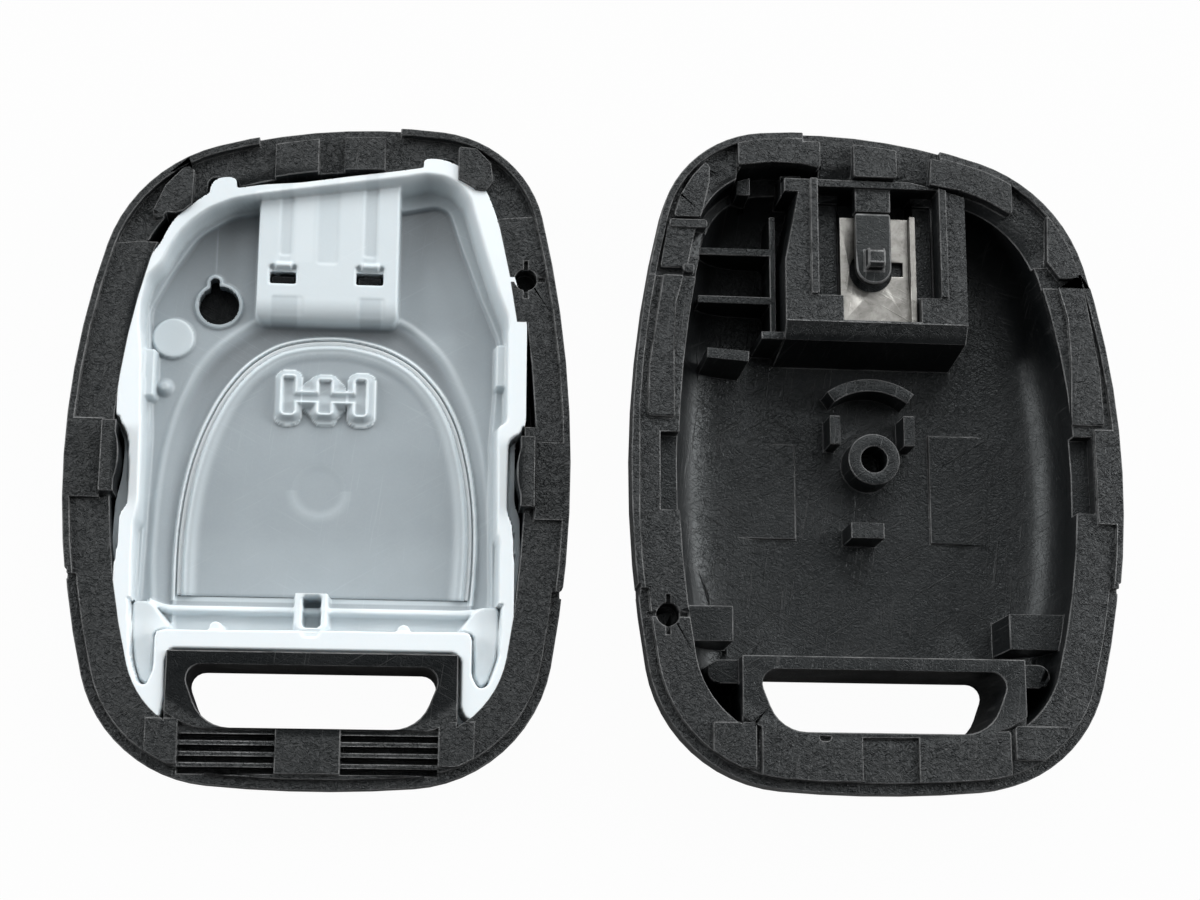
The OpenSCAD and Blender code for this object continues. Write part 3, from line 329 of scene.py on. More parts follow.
case_x = 23.3
hollow_half = (17.2 * mm, 24.6 * mm)
for name, slot, colour, rim, grain_depth, gloss, hollow, satin_gloss, width in (
        ("front_cover", "case_plastic", (0.0042, 0.005, 0.0056), (4.0, 5.0), 0.17, 0.42,
         (-case_x * mm, *hollow_half), 0.12, 0.09),
        ("rear_cover", "case_plastic", (0.0045, 0.0053, 0.006), (7.2, 8.2), 0.17, 0.4,
         (case_x * mm, *hollow_half), 0.36, 0.09),
        ("thumb_key", "key_plastic", (0.005, 0.006, 0.0065), (0.0, 0.2), 0.08, 0.4,
         None, 0.36, 0.12),
        ("blade_latch", "case_plastic", (0.005, 0.006, 0.0065), (8.0, 9.0), 0.08, 0.38,
         None, 0.36, 0.17)):
    look_of = [colour, rim[0] * mm, rim[1] * mm, grain_depth * mm, gloss, hollow, satin_gloss]
    # the second finish goes on the eased faces and carries edge wear and a painted highlight
    dress(name, slot, width * mm, black_plastic(name + " plastic", *look_of),
          black_plastic(name + " edges", *look_of, wear_and_glint=edge_wear_and_glint))

# Seal. Cast milky silicone: a thin floor that lies on the case, a tall rim, two legs beside
# the ring slot and a hood over the blade seat, in one moulding. Thick walls look white and
# the floor lets the black case show through.
seal_x = -case_x
seal_pitch = 0.115
snap_out, snap_in = 0.72 * seal_pitch, 0.38 * seal_pitch  # how near the outline draws a point
seal_base = 1.26
seal_floor = 2.4
step_rise, floor_drop = 0.5, 0.25
trough_depth, trough_bead = 0.28, 0.1
groove_bead = 0.38
seal_top = 5.68
flange_top = 3.9
flange_end = 3  # the flange shows outside the walls below this y
pocket_floor = 4.35
block_top = 4.1
hinge_rib_top, hinge_rib_y = 3.35, -13.38
loop_top, loop_foot = 4.85, 4.9
bump_top = 5.5
hood_foot, hood_rise = 3.15, 1.35
window_floor, window_lip = 4.1, 4.75
keyhole_lip = 2.68
disc_top = 2.78
pin_top = 3.1
wall_ease = 0.26
# A disc is its middle x and y and its radius, and a box its left, foot, right, top and
# corner radius.
keyhole_disc, keyhole_slot = (-9.11, 12.90, 1.72), (-9.92, 12.9, -9.12, 15.32, 0.4)
flat_disc, small_pin = (-12.82, 9.87, 1.87), (-13.35, 5.53, 0.85)
wall_blocks = ((-15.6, 4.2, -13.9, 8.7, 0.35), (14.42, 5.8, 16.0, 9.95, 0.35))
loop_outside, loop_inside = (-1.82, -15.4, 1.12, -11.38, 0.75), (-0.95, -14.85, 0.36, -12.48, 0.25)
loop_foot_box = (-1.12, -15.95, 0.5, -14.8, 0.5)
hinge_bumps = ((-8.0, -15.25, 0.72), (7.29, -15.25, 0.72))
hood_box = (-6.02, 11.12, 6.22, 27.0, 0.95)
hood_end = 26.0
hood_front, front_high = 11.3, 1.9
hood_channels = ((-4.1, -3.0, 16.95, 0.09), (-0.95, 0.95, 16.3, 0.05), (3.05, 4.25, 17.0, 0.12))
hood_panels = ((-4.1, -3.0, -0.11), (-0.95, 0.95, -0.08), (3.05, 4.25, -0.15), (-2.8, -1.2, 0.05))
front_recesses = ((-4.64, 11.75, -1.9, 13.42, 0.25), (2.69, 11.75, 5.0, 13.42, 0.25))
# painted shade: boxes on the hood's front whose lower panels are darkened
front_painted_shade = ((-4.64, 11.2, -2.4, 13.42, 0.2), (2.9, 11.2, 4.7, 13.42, 0.2))
window_rims = ((-4.95, -2.48, 14.42), (2.38, 4.94, 14.5))
window_holes = ((-4.82, 14.56, -2.6, 15.66, 0.2), (2.51, 14.64, 4.82, 15.74, 0.2))
milk_heights = (2.0, 2.2, 2.45, 2.9, 3.6, 4.5, 5.2, seal_top)
milk_levels = (0.27, 0.3, 0.34, 0.42, 0.62, 0.72, 0.86, 1.0)
milk_stops = ((0.0, (0.09, 0.1, 0.108)), (0.3, (0.28, 0.32, 0.345)), (0.6, (0.51, 0.57, 0.60)),
              (1.0, (0.72, 0.772, 0.798)))


def softened(corners, radius, steps=5):
    """A closed outline with each corner drawn as a curve, tangent to both edges at a radius
    or at 0.45 of the shorter edge: (1-s)^2 A + 2 s (1-s) corner + s^2 B."""
    p = np.array(corners, float)
    before, after = np.roll(p, 1, 0) - p, np.roll(p, -1, 0) - p
    span = [np.linalg.norm(v, axis=1, keepdims=True) for v in (before, after)]
    reach = np.minimum(radius, 0.45 * np.minimum(span[0], span[1]))
    s = np.linspace(0, 1, steps)[None, :, None]
    a, b = (p + before / span[0] * reach)[:, None], (p + after / span[1] * reach)[:, None]
    return ((1 - s) ** 2 * a + 2 * s * (1 - s) * p[:, None] + s ** 2 * b).reshape(-1, 2)


def depth_in(x, y, outline, margin=2.6):
    """How far each point lies inside a closed outline, negative outside it: the distance to
    the nearest edge, signed by an even-odd count. Past the margin it is just the margin."""
    low, high = outline.min(0) - margin, outline.max(0) + margin
    near = np.flatnonzero((x > low[0]) & (x < high[0]) & (y > low[1]) & (y < high[1]))
    px, py = x[near], y[near]
    best = np.full(len(px), margin ** 2)
    odd = np.zeros(len(px), bool)
    for (ax, ay), (bx, by) in zip(outline, np.roll(outline, -1, 0)):
        ex, ey = bx - ax, by - ay
        along = np.clip(((px - ax) * ex + (py - ay) * ey) / (ex * ex + ey * ey + 1e-12), 0, 1)
        best = np.minimum(best, (px - ax - along * ex) ** 2 + (py - ay - along * ey) ** 2)
        crosses = (ay > py) != (by > py)
        odd ^= crosses & (px < ax + (py - ay) * ex / np.where(ey == 0, 1e-12, ey))
    depth = np.full(x.shape, -margin)
    depth[near] = np.where(odd, 1, -1) * np.sqrt(best)
    return depth


def disc_in(x, y, cx, cy, r):
    """How far each point lies inside a circle: its radius less the distance to its middle."""
    return r - np.hypot(x - cx, y - cy)


def box_in(x, y, x0, y0, x1, y1, r=0.0):
    """How far each point lies inside a rectangle with rounded corners: its sides are moved
    in by the radius, the distance to what is left is taken, and the radius is given back."""
    qx = np.abs(x - (x0 + x1) / 2) - (x1 - x0) / 2 + r
    qy = np.abs(y - (y0 + y1) / 2) - (y1 - y0) / 2 + r
    return r - np.hypot(np.maximum(qx, 0), np.maximum(qy, 0)) - np.minimum(np.maximum(qx, qy), 0)


def boxes_in(x, y, *boxes):
    """How far each point lies inside any of several rounded rectangles: the greatest depth."""
    return np.max([box_in(x, y, *box) for box in boxes], axis=0)


def ramp(depth, width, at=0.0):
    """Smooth step from 0 to 1 over a width, from the depth given as at: t^2 (3 - 2t)."""
    t = np.clip((depth - at) / width, 0, 1)
    return t * t * (3 - 2 * t)


def lump(depth, middle, width):
    """A rounded bead, 1 along the line where the depth is at its middle: cosine squared."""
    t = np.clip(np.abs(depth - middle) / width, 0, 1)
    return np.cos(t * math.pi / 2) ** 2


def lifted(z, depth, level, width=wall_ease, at=0.0):
    """Raises a surface to a level where a form stands on it, mixed by a smooth step."""
    return np.maximum(z, z + (level - z) * ramp(depth, width, at))


def sunk(z, depth, level, width=wall_ease, at=0.0):
    """Lowers a surface to a level inside a form, mixed by a smooth step."""
    return np.minimum(z, z + (level - z) * ramp(depth, width, at))


upper_edge = [
    (-16.97, 7.95), (-16.88, 11.31), (-16.40, 13.17), (-16.03, 14.70), (-15.62, 15.6),
    (-14.65, 16.37), (-13.96, 17.33), (-13.30, 18.87), (-12.77, 19.66), (-12.01, 20.44),
    (-10.60, 21.61), (-10.05, 21.98), (-10.0, 22.7), (-9.5, 23.25), (-8.85, 23.42),
    (-8.2, 23.42), (-7.85, 23.2), (-7.85, 22.45), (-5.45, 22.88), (-2.34, 23.17), (2.07, 23.94),
    (5.61, 24.50), (8.08, 24.94), (8.01, 25.70), (8.85, 25.8), (9.85, 25.71), (11.10, 25.22),
    (12.18, 24.50), (13.08, 23.59), (13.63, 22.68), (14.27, 21.02), (14.92, 18.81),
    (16.39, 14.07), (16.93, 12.63), (17.1, 11.1), (17.11, 2.69), (16.9, 1.6)]
seal_outline = softened(upper_edge + [
    (16.3, 1.15), (16.3, -4.1), (16.78, -5.29), (16.86, -9.13), (16.98, -15.88), (16.78, -17.56),
    (15.77, -20.48), (14.54, -22.07), (13.0, -23.25), (12.1, -23.0), (11.6, -22.3), (11.6, -17.3),
    (1.27, -17.25), (-11.2, -17.35), (-11.62, -17.8), (-11.62, -22.7), (-12.15, -23.3),
    (-12.84, -23.49), (-13.89, -23.11), (-14.80, -22.07), (-15.95, -19.63), (-16.66, -17.36),
    (-16.91, -15.60), (-16.98, -12.94), (-16.86, -10.27), (-16.79, -6.68), (-16.75, -4.70),
    (-16.3, -2.5), (-16.2, -0.8), (-16.25, 0.6), (-16.95, 2.0)], 0.6)
rim_outline = softened(upper_edge + [
    (15.85, 1.05), (15.82, -5.15), (16.25, -6.16), (16.45, -9.37), (16.56, -16.06),
    (16.37, -17.73), (15.55, -20.21), (14.66, -21.53), (13.68, -22.44), (13.03, -22.78),
    (12.37, -22.45), (11.92, -21.72), (11.86, -17.7), (11.5, -17.28), (1.27, -17.22),
    (-10.93, -17.3), (-11.55, -17.6), (-11.75, -18.1), (-11.68, -21.28), (-11.91, -22.6),
    (-12.46, -22.95), (-13.60, -22.75), (-14.43, -21.95), (-15.58, -19.77), (-16.24, -17.52),
    (-16.48, -15.77), (-16.60, -13.14), (-16.60, -10.49), (-16.34, -8.16), (-16.32, -5.90),
    (-15.74, -5.15), (-15.87, -0.82), (-16.0, 0.5), (-16.85, 2.2)], 0.6)
basin_outline = softened([
    (-15.0, -13.0), (-15.05, -9.8), (-15.12, -6.45), (-14.77, -5.02), (-14.84, 0.31),
    (-14.98, 3.72), (-15.17, 8.02), (-15.5, 10.2), (-15.50, 11.91), (-15.03, 14.45),
    (-13.91, 15.71), (-13.30, 17.1), (-12.55, 18.4), (-11.55, 19.55), (-10.16, 20.65),
    (-8.24, 21.55), (-5.97, 22.05), (6.00, 24.1), (8.31, 24.55), (10.0, 24.35), (11.42, 23.55),
    (12.25, 22.2), (13.5, 17.9), (14.62, 14.37), (15.60, 11.75), (15.66, 10.9), (15.55, 10.25),
    (15.60, 5.35), (15.63, 2.58), (14.79, 2.13), (14.87, -4.30), (14.90, -7.10), (15.08, -7.69),
    (15.13, -13.0)], 0.5)
foot_outline = softened([
    (-14.73, -13.3), (-14.79, -9.36), (-14.82, -6.95), (-14.36, -6.39), (-14.40, 0.90),
    (-14.6, 3.5), (-14.85, 8.7), (-15.05, 10.49), (-15.05, 12.2), (-14.6, 14.2), (-13.5, 15.4),
    (-12.85, 16.9), (-12.1, 18.15), (-11.2, 19.2), (-9.9, 20.2), (-8.1, 21.1), (-5.97, 21.6),
    (6.34, 23.0), (8.7, 23.6), (10.4, 23.1), (11.6, 21.9), (12.84, 17.8), (14.05, 14.1),
    (15.15, 11.3), (15.25, 10.2), (15.25, 2.9), (14.45, 2.3), (14.50, -4.30), (14.55, -7.10),
    (14.8, -7.69), (14.8, -13.3)], 0.5)
step_outline = softened([
    (-14.5, -13.3), (-14.2, 0.9), (-14.6, 8.7), (-14.8, 12.2), (-13.2, 15.4), (-11.0, 18.9),
    (-8.1, 20.8), (-5.97, 21.2), (6.34, 21.75), (9.3, 22.4), (10.4, 21.9), (11.5, 18.6),
    (13.2, 14.2), (14.9, 10.2), (14.2, 0.9), (14.5, -13.3)], 0.8)
arch_outline = softened([
    (-11.35, -16.0), (-11.35, -11.9), (-11.40, -9.32), (-11.34, -6.78), (-11.07, -3.95),
    (-10.58, -1.2), (-9.69, 1.77), (-8.2, 4.97), (-6.26, 7.5), (-3.93, 9.14), (-1.48, 9.76),
    (1.71, 9.93), (4.94, 9.24), (7.54, 7.83), (9.72, 5.5), (11.18, 2.67), (12.09, -0.8),
    (12.57, -4.26), (12.7, -7.7), (12.55, -10.9), (12.45, -11.9), (12.3, -16.0)], 1.6, 7)
trough_outline = softened([
    (-13.49, -12.72), (-13.72, -9.35), (-13.60, -4.24), (-13.19, 0.06), (-12.26, 3.98),
    (-10.95, 7.06), (-9.33, 9.11), (-7.27, 10.84), (-4.8, 12.2), (6.2, 12.2), (8.56, 10.56),
    (10.58, 8.39), (12.53, 4.45), (13.70, 0.53), (14.27, -3.80), (14.48, -7.25), (14.6, -12.20),
    (14.0, -14.0), (-13.0, -14.0)], 1.8, 6)
arch_foot = -12.16
hinge_play = 0.03
web_half = 0.14
lug_base = 4.2

lower_band = softened([
    (-11.95, -23.6), (-11.6, -17.2), (11.6, -17.2), (11.8, -23.6), (13.02, -23.2), (13.02, -15.9),
    (12.9, -15.3), (12.35, -15.10), (-12.2, -15.30), (-12.95, -15.5), (-13.0, -23.3)], 0.35)
pocket_outlines = [softened(corners, 0.5) for corners in (
    [(-13.00, -15.5), (-12.95, -18.79), (-13.16, -19.61), (-13.55, -19.86), (-14.05, -19.5),
     (-14.55, -17.99), (-14.85, -15.52), (-14.95, -12.9), (-13.4, -12.9), (-11.5, -15.24)],
    [(13.02, -15.3), (13.15, -18.94), (13.49, -19.60), (13.82, -19.68), (14.32, -19.34),
     (15.04, -17.26), (15.2, -15.18), (15.2, -12.9), (13.41, -12.95), (11.7, -15.05)])]
leg_walls = [softened(corners, 0.6) for corners in (
    [(-13.0, -15.5), (-13.0, -18.8), (-13.5, -19.9), (-14.0, -19.6), (-14.6, -17.9),
     (-14.95, -12.6), (-17.6, -12.6), (-17.6, -19.0), (-15.0, -24.2), (-11.4, -24.2),
     (-11.4, -15.3)],
    [(13.05, -15.3), (13.05, -18.8), (13.6, -19.75), (14.2, -19.5), (15.0, -17.3), (15.2, -12.6),
     (17.6, -12.6), (17.6, -19.0), (15.0, -24.2), (11.4, -24.2), (11.4, -15.1)])]


def arch_in(x, y):
    """How far each point lies inside the arch, whose straight foot is left open below."""
    return depth_in(x, y, arch_outline)


def keyhole_in(x, y):
    """How far each point lies inside the keyhole: a disc with a slot above it."""
    return np.maximum(disc_in(x, y, *keyhole_disc), box_in(x, y, *keyhole_slot))


def hood_height(x, y):
    """Top of the hood: flat, then down its front along a quarter ellipse, sqrt(1 - (1-t)^2),
    less three shallow channels along it and a pair of recesses in the front."""
    front = np.clip((y - hood_front) / front_high, 0, 1)
    z = hood_foot + hood_rise * np.sqrt(np.clip(1 - (1 - front) ** 2, 0, 1))
    for x0, x1, y0, deep in hood_channels:
        z -= deep * ramp(box_in(x, y, x0, y0, x1, hood_end, 0.35), 0.3, -0.1)
    for recess in front_recesses:
        z -= 0.05 * ramp(box_in(x, y, *recess), 0.3, -0.1)
    return z


def seal_surface(x, y):
    """Height of the seal over the case, and how milky it looks there, from 0 to 1. The floor
    is drawn first, then each form raises or lowers it by a smooth step over its outline, and
    the milkiness follows the height, with a shift for each form, and painted shade darkens
    parts of the floor and the hood's front."""
    rim, basin = depth_in(x, y, rim_outline), depth_in(x, y, basin_outline)
    foot, step = depth_in(x, y, foot_outline), depth_in(x, y, step_outline)
    arch, trough = arch_in(x, y), depth_in(x, y, trough_outline)
    above_rib = ramp(y, 0.2, -13.15)
    # floor, the trough round the arch, and the bead along its inner edge
    z = np.full(x.shape, seal_floor) + step_rise * (1 - ramp(step, 0.3, -0.15)) * above_rib
    z = z - trough_depth * ramp(trough, 1.5, 0.1) * above_rib
    z = z + trough_bead * lump(trough, 0.0, 0.45) * above_rib
    z = z + groove_bead * lump(arch, -0.44, 0.24)
    z = z - floor_drop * (1 - above_rib)
    # the rim, whose inner wall runs from the basin's edge down to its foot
    fall = np.clip(basin, 0, None) / (np.clip(basin, 0, None) + np.clip(-foot, 0, None) + 1e-6)
    wall = seal_top + (z - seal_top) * fall * fall * (3 - 2 * fall)
    inside = (basin > 0) & (y > -13.2)
    z = np.where(inside, np.where(foot > 0, z, np.maximum(wall, z)), z)
    border = np.where((basin <= 0) & (y > -12.95), ramp(rim, 0.2, np.where(y > 2.2, -0.25, -0.02)), 0.0)
    z = np.maximum(z, border * seal_top)
    # legs, pockets and the band above the ring slot
    band_depth = depth_in(x, y, lower_band)
    legs = np.maximum(*(depth_in(x, y, leg) for leg in leg_walls))
    pockets = np.maximum(*(depth_in(x, y, pocket) for pocket in pocket_outlines))
    thick = np.minimum(np.maximum(legs, band_depth), rim)
    z = lifted(z, pockets, pocket_floor, 0.3, -0.15)
    z = lifted(z, np.where(y < -12.4, thick, -1), seal_top, wall_ease, -0.04)
    # the flange outside the white walls
    on_flange = (rim < 0) & (y < flange_end)
    step_down = flange_top + (seal_top - flange_top) * ramp(rim, 0.2, -0.2)
    z = np.where(on_flange, np.maximum(np.minimum(z, step_down), flange_top), z)
    # wall blocks and the rib, loop and bumps at the hinge line
    z = lifted(z, boxes_in(x, y, *wall_blocks), block_top, 0.25)
    left_bend, right_bend = np.clip((-11.6 - x) / 2.0, 0, 1), np.clip((x - 11.5) / 2.5, 0, 1)
    rib_bend = 0.55 * left_bend ** 2 + 0.25 * right_bend ** 2
    rib = 0.33 - np.abs(y - hinge_rib_y - rib_bend)
    z = lifted(z, np.where(np.abs(x) < 13.7, rib, -1), hinge_rib_top, 0.18, -0.06)
    loop = np.minimum(box_in(x, y, *loop_outside), -box_in(x, y, *loop_inside))
    z = lifted(z, loop, loop_top, 0.22, -0.04)
    for bump in hinge_bumps:
        z = lifted(z, disc_in(x, y, *bump), bump_top, 0.3, -0.05)
    z = sunk(z, box_in(x, y, *loop_foot_box), loop_foot, 0.25)
    # hood with its windows and their lips
    hood = np.minimum(box_in(x, y, *hood_box), basin + 0.12)
    z = np.maximum(z, z + (hood_height(x, y) - z) * ramp(hood, 0.24, -0.03))
    for x0, x1, y0 in window_rims:
        z = sunk(z, box_in(x, y, x0, y0, x1, y0 + 1.8, 0.3), window_floor, 0.22)
        z = lifted(z, box_in(x, y, x0 + 0.5, y0 + 1.4, x1 - 0.45, y0 + 2.0, 0.12), window_lip, 0.14)
    # keyhole edge, disc and pin
    keyhole = keyhole_in(x, y)
    z = lifted(z, keyhole, keyhole_lip, 0.2, -0.42)
    disc = disc_in(x, y, *flat_disc)
    z = lifted(z, disc, disc_top, 0.22)
    z = lifted(z, disc_in(x, y, *small_pin), pin_top, 0.6)
    # milkiness grows with the thickness, and painted shade darkens the floor beside the hood and
    # towards its upper end
    milk_and_shading = np.interp(z, milk_heights, milk_levels)
    on_floor = 1 - ramp(z, 0.7, 2.45)
    right = ramp(x, 2.0, 7.0)
    beside_hood = ramp(y, 9.0 - 2.0 * right, 11.0 + 3.0 * right)
    # painted shade on the floor: darker beside the hood and over its upper part, and darker again
    # inside the trough towards the top
    milk_and_shading = milk_and_shading - on_floor * (0.16 * beside_hood + 0.05 * ramp(y, 4.0, 5.0))
    milk_and_shading = milk_and_shading - 0.17 * on_floor * ramp(trough, 0.9, 0.2) * ramp(y, 9.0, 0.0)
    # the middle of the lower floor and the trough's bead are made paler
    milk_and_shading = milk_and_shading + 0.05 * on_floor * (1 - ramp(np.abs(x), 3.0, 10.5)) * ramp(-y, 2.0, -12.0)
    milk_and_shading = milk_and_shading + 0.10 * lump(trough, 0.0, 0.5) * above_rib * on_floor
    beaded = y > arch_foot - 0.4
    milk_and_shading = np.where(beaded & (arch > -0.9), np.maximum(milk_and_shading, lump(arch, -0.5, 0.28)), milk_and_shading)
    milk_and_shading = np.where(beaded & (arch > -0.34), 0.56, milk_and_shading)
    # the upper left of the rim and the hood are made greyer towards the upper end
    milk_and_shading = milk_and_shading - 0.17 * ramp(y, 9.0, 13.0) * ramp(-x, 5.0, 1.5) * ramp(z, 1.2, 3.0) * ramp(-hood, 0.3)
    milk_and_shading = milk_and_shading - 0.05 * ramp(hood, 0.3) * ramp(y, 1.5, 12.2)
    # a cast line above the keyhole, painted shade on the lower panels of the hood's front, the panels
    # of the hood and the bright foot of the seal
    cast_line = lump(x + 9.5, 0.0, 0.13) * ramp(y, 1.0, 15.4) * (1 - ramp(y, 2.0, 18.5))
    milk_and_shading = milk_and_shading + 0.14 * cast_line * on_floor
    for painted_shade_box in front_painted_shade:
        milk_and_shading = milk_and_shading - 0.14 * ramp(box_in(x, y, *painted_shade_box), 0.2, -0.1)
    for x0, x1, shift in hood_panels:
        milk_and_shading = milk_and_shading + shift * ramp(box_in(x, y, x0, 16.4, x1, hood_end, 0.2), 0.3, -0.1)
    below_rib = np.where((np.abs(x) < 14.9) & (y < -12.6), ramp(-y, 0.5, 12.75), 0.0)
    milk_and_shading = np.maximum(milk_and_shading, below_rib * (0.76 + 0.08 * ramp(-y, 1.2, 13.8)))
    milk_and_shading = np.maximum(milk_and_shading, 0.97 * ramp(np.where(np.abs(x) < 13.9, rib, -1), 0.16, -0.04))
    milk_and_shading = np.maximum(milk_and_shading, 0.93 * ramp(loop, 0.16, -0.04))
    milk_and_shading = milk_and_shading + 0.12 * ramp(pockets, 0.5, -0.1)
    milk_and_shading = np.maximum(milk_and_shading, 0.62 * ramp(disc, 0.2))
    milk_and_shading = np.maximum(milk_and_shading, 0.55 * lump(keyhole, -0.22, 0.24))
    milk_and_shading = np.where(on_flange, 0.5, milk_and_shading)
    return z, np.clip(milk_and_shading, 0, 1)


def seal_body_in(x, y):
    """How far each point lies inside the seal from above: its outline less the arch, the
    two windows and the keyhole."""
    depth = depth_in(x, y, seal_outline)
    depth = np.minimum(depth, -np.minimum(arch_in(x, y) + web_half, y - arch_foot + hinge_play))
    depth = np.minimum(depth, -boxes_in(x, y, *window_holes))
    return np.minimum(depth, -keyhole_in(x, y))


def field_in(x, y):
    """How far each point lies inside the key field: the arch above its foot, less the web."""
    return np.minimum(arch_in(x, y) - web_half, y - arch_foot)


def pressed_sheet(name, material_in, surface, x_span, y_span, base):
    """A moulding over a flat base. A square grid is laid out, points within about half a
    pitch of the outline are drawn onto it along its slope, cells with a corner outside are
    left out, the height and milkiness are worked out at every point, and the open edge is
    carried down to the base, or less far under a lug, and filled there. The line between
    the top and these walls stays sharp."""
    pitch = seal_pitch
    xs = np.arange(x_span[0], x_span[1] + pitch, pitch)
    ys = np.arange(y_span[0], y_span[1] + pitch, pitch)
    x, y = (a.ravel() for a in np.meshgrid(xs, ys))
    wide, tall = len(xs), len(ys)
    depth = material_in(x, y)
    slope_y, slope_x = np.gradient(depth.reshape(tall, wide), pitch)
    steep = np.maximum(slope_x ** 2 + slope_y ** 2, 0.25).ravel()
    close = (depth > -snap_out) & (depth < snap_in)
    x = np.where(close, x - depth * slope_x.ravel() / steep, x)
    y = np.where(close, y - depth * slope_y.ravel() / steep, y)
    kept = close | (depth >= snap_in)
    corner = (np.arange(tall - 1)[:, None] * wide + np.arange(wide - 1)[None, :]).ravel()
    cells = np.stack([corner, corner + 1, corner + wide + 1, corner + wide], 1)
    cells = cells[kept[cells].all(1)]
    used, cells = np.unique(cells, return_inverse=True)
    cells = cells.reshape(-1, 4)
    x, y = x[used], y[used]
    z, milk_and_shading = surface(x, y)
    edges = np.concatenate([cells[:, [i, (i + 1) % 4]] for i in range(4)])
    key = np.sort(edges, 1) @ np.array([len(used), 1])
    _, first, times = np.unique(key, return_index=True, return_counts=True)
    rim = edges[first[times == 1]]
    lower, rim_low = np.unique(rim, return_inverse=True)
    rim_low = rim_low.reshape(-1, 2) + len(used)
    walls = np.stack([rim[:, 1], rim[:, 0], rim_low[:, 0], rim_low[:, 1]], 1)
    in_lug = (y > 24.9) | ((x < -7.8) & (x > -9.95) & (y > 22.15))
    floor_z = np.where(in_lug, lug_base, base)[lower]
    points = np.concatenate([np.stack([x, y, z], 1), np.stack([x[lower], y[lower], floor_z], 1)])
    points = (points + [seal_x, 0, 0]) * mm
    mesh = bpy.data.meshes.new(name)
    mesh.from_pydata(points.tolist(), [], np.concatenate([cells, walls]).tolist())
    tone = mesh.attributes.new("milk_and_shading", "FLOAT", "POINT")
    tone.data.foreach_set("value", np.concatenate([milk_and_shading, milk_and_shading[lower]]).astype(np.float32))
    shape = bmesh.new()
    shape.from_mesh(mesh)
    shape.faces.ensure_lookup_table()
    for wall in shape.faces[len(cells):]:
        for edge in wall.edges:
            edge.smooth = all(face.index >= len(cells) for face in edge.link_faces)
    bmesh.ops.dissolve_degenerate(shape, dist=0.001 * mm, edges=shape.edges)
    open_edges = [e for e in shape.edges if e.is_boundary]
    bmesh.ops.triangle_fill(shape, edges=open_edges, use_beauty=False, normal=(0, 0, -1))
    bmesh.ops.recalc_face_normals(shape, faces=shape.faces)
    shape.to_mesh(mesh)
    shape.free()
    mesh.shade_smooth()
    piece = bpy.data.objects.new(name, mesh)
    bpy.context.scene.collection.objects.link(piece)
    return piece


silicone = bpy.data.materials.new("milky silicone")
silicone.use_nodes = True
tree = silicone.node_tree
shell = tree.nodes["Principled BSDF"]
milk_and_shading = wire(tree, "ShaderNodeAttribute", attribute_name="milk_and_shading")["Fac"]
cloud = noise(tree, 3.5 * mm, 3.0, 0.6)
speck = noise(tree, 0.2 * mm, 2.0, 0.6)
lines = placed(tree, hair_group, Amount=0.6)["Mask"]
milk_and_shading = added(tree, milk_and_shading, sum_of(tree, "SUBTRACT", cloud, 0.5), 0.05)
milk_and_shading = added(tree, milk_and_shading, sum_of(tree, "SUBTRACT", speck, 0.5), 0.03)
milk_and_shading = added(tree, milk_and_shading, lines, 0.04)
stops = wire(tree, "ShaderNodeValToRGB", {"Fac": milk_and_shading})["Color"]
colour_band = stops.node.color_ramp
for at, colour in milk_stops[1:-1]:
    colour_band.elements.new(at)
for stop, (at, colour) in zip(colour_band.elements, milk_stops):
    stop.position, stop.color = at, (*colour, 1)
tree.links.new(stops, shell.inputs["Base Color"])
shell.inputs["Subsurface Weight"].default_value = 0.25
shell.inputs["Subsurface Radius"].default_value = (0.8, 1.0, 1.1)
shell.inputs["Subsurface Scale"].default_value = 0.35 * mm
tree.links.new(added(tree, 0.36, cloud, 0.16), shell.inputs["Roughness"])
relief = added(tree, sum_of(tree, "MULTIPLY", speck, 0.5), lines, 0.5)
bump = wire(tree, "ShaderNodeBump", {"Strength": 0.35, "Distance": 0.012 * mm, "Height": relief})[0]
tree.links.new(bump, shell.inputs["Normal"])

seal = pressed_sheet("silicone_seal", seal_body_in, seal_surface, (-17.3, 17.4), (-23.8, 26.1),
                     seal_base)
seal.data.materials.append(silicone)
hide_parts("seal")
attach(seal, "front_half")

# Key field of the seal. The floor inside the groove, in one moulding with the seal: it
# swings with the thumb key, and its looped ribs press the switch on the board.
field_base = 1.74
field_edge = 2.3
field_floor = 2.28
bead_rise = 0.36
pusher_foot = 2.6
rib_top = 3.28
field_milk_heights = (1.9, 2.0, 2.25, 2.35, 2.6, 2.75, rib_top)
field_milk_levels = (0.27, 0.235, 0.3, 0.34, 0.44, 0.52, 0.58)
mark_middle, mark_radius = (-0.11, -2.99), 2.3
pusher_ribs = ((-3.62, 3.28, -2.2, 6.86, 0.45), (-0.58, 3.38, 0.88, 6.6, 0.35),
               (2.5, 3.28, 3.82, 6.7, 0.42), (-3.2, 4.42, 3.4, 5.4, 0.1))
pusher_ends = ((-4.08, 2.56, -1.8, 7.42, 0.85), (2.05, 2.54, 4.42, 7.3, 0.85))
pusher_middle = softened([
    (-1.82, 6.1), (-0.6, 7.07), (0.85, 7.07), (1.98, 5.9), (1.98, 4.0), (1.24, 3.2),
    (0.95, 2.58), (-0.5, 2.58), (-0.94, 3.25), (-1.82, 4.0)], 0.4)


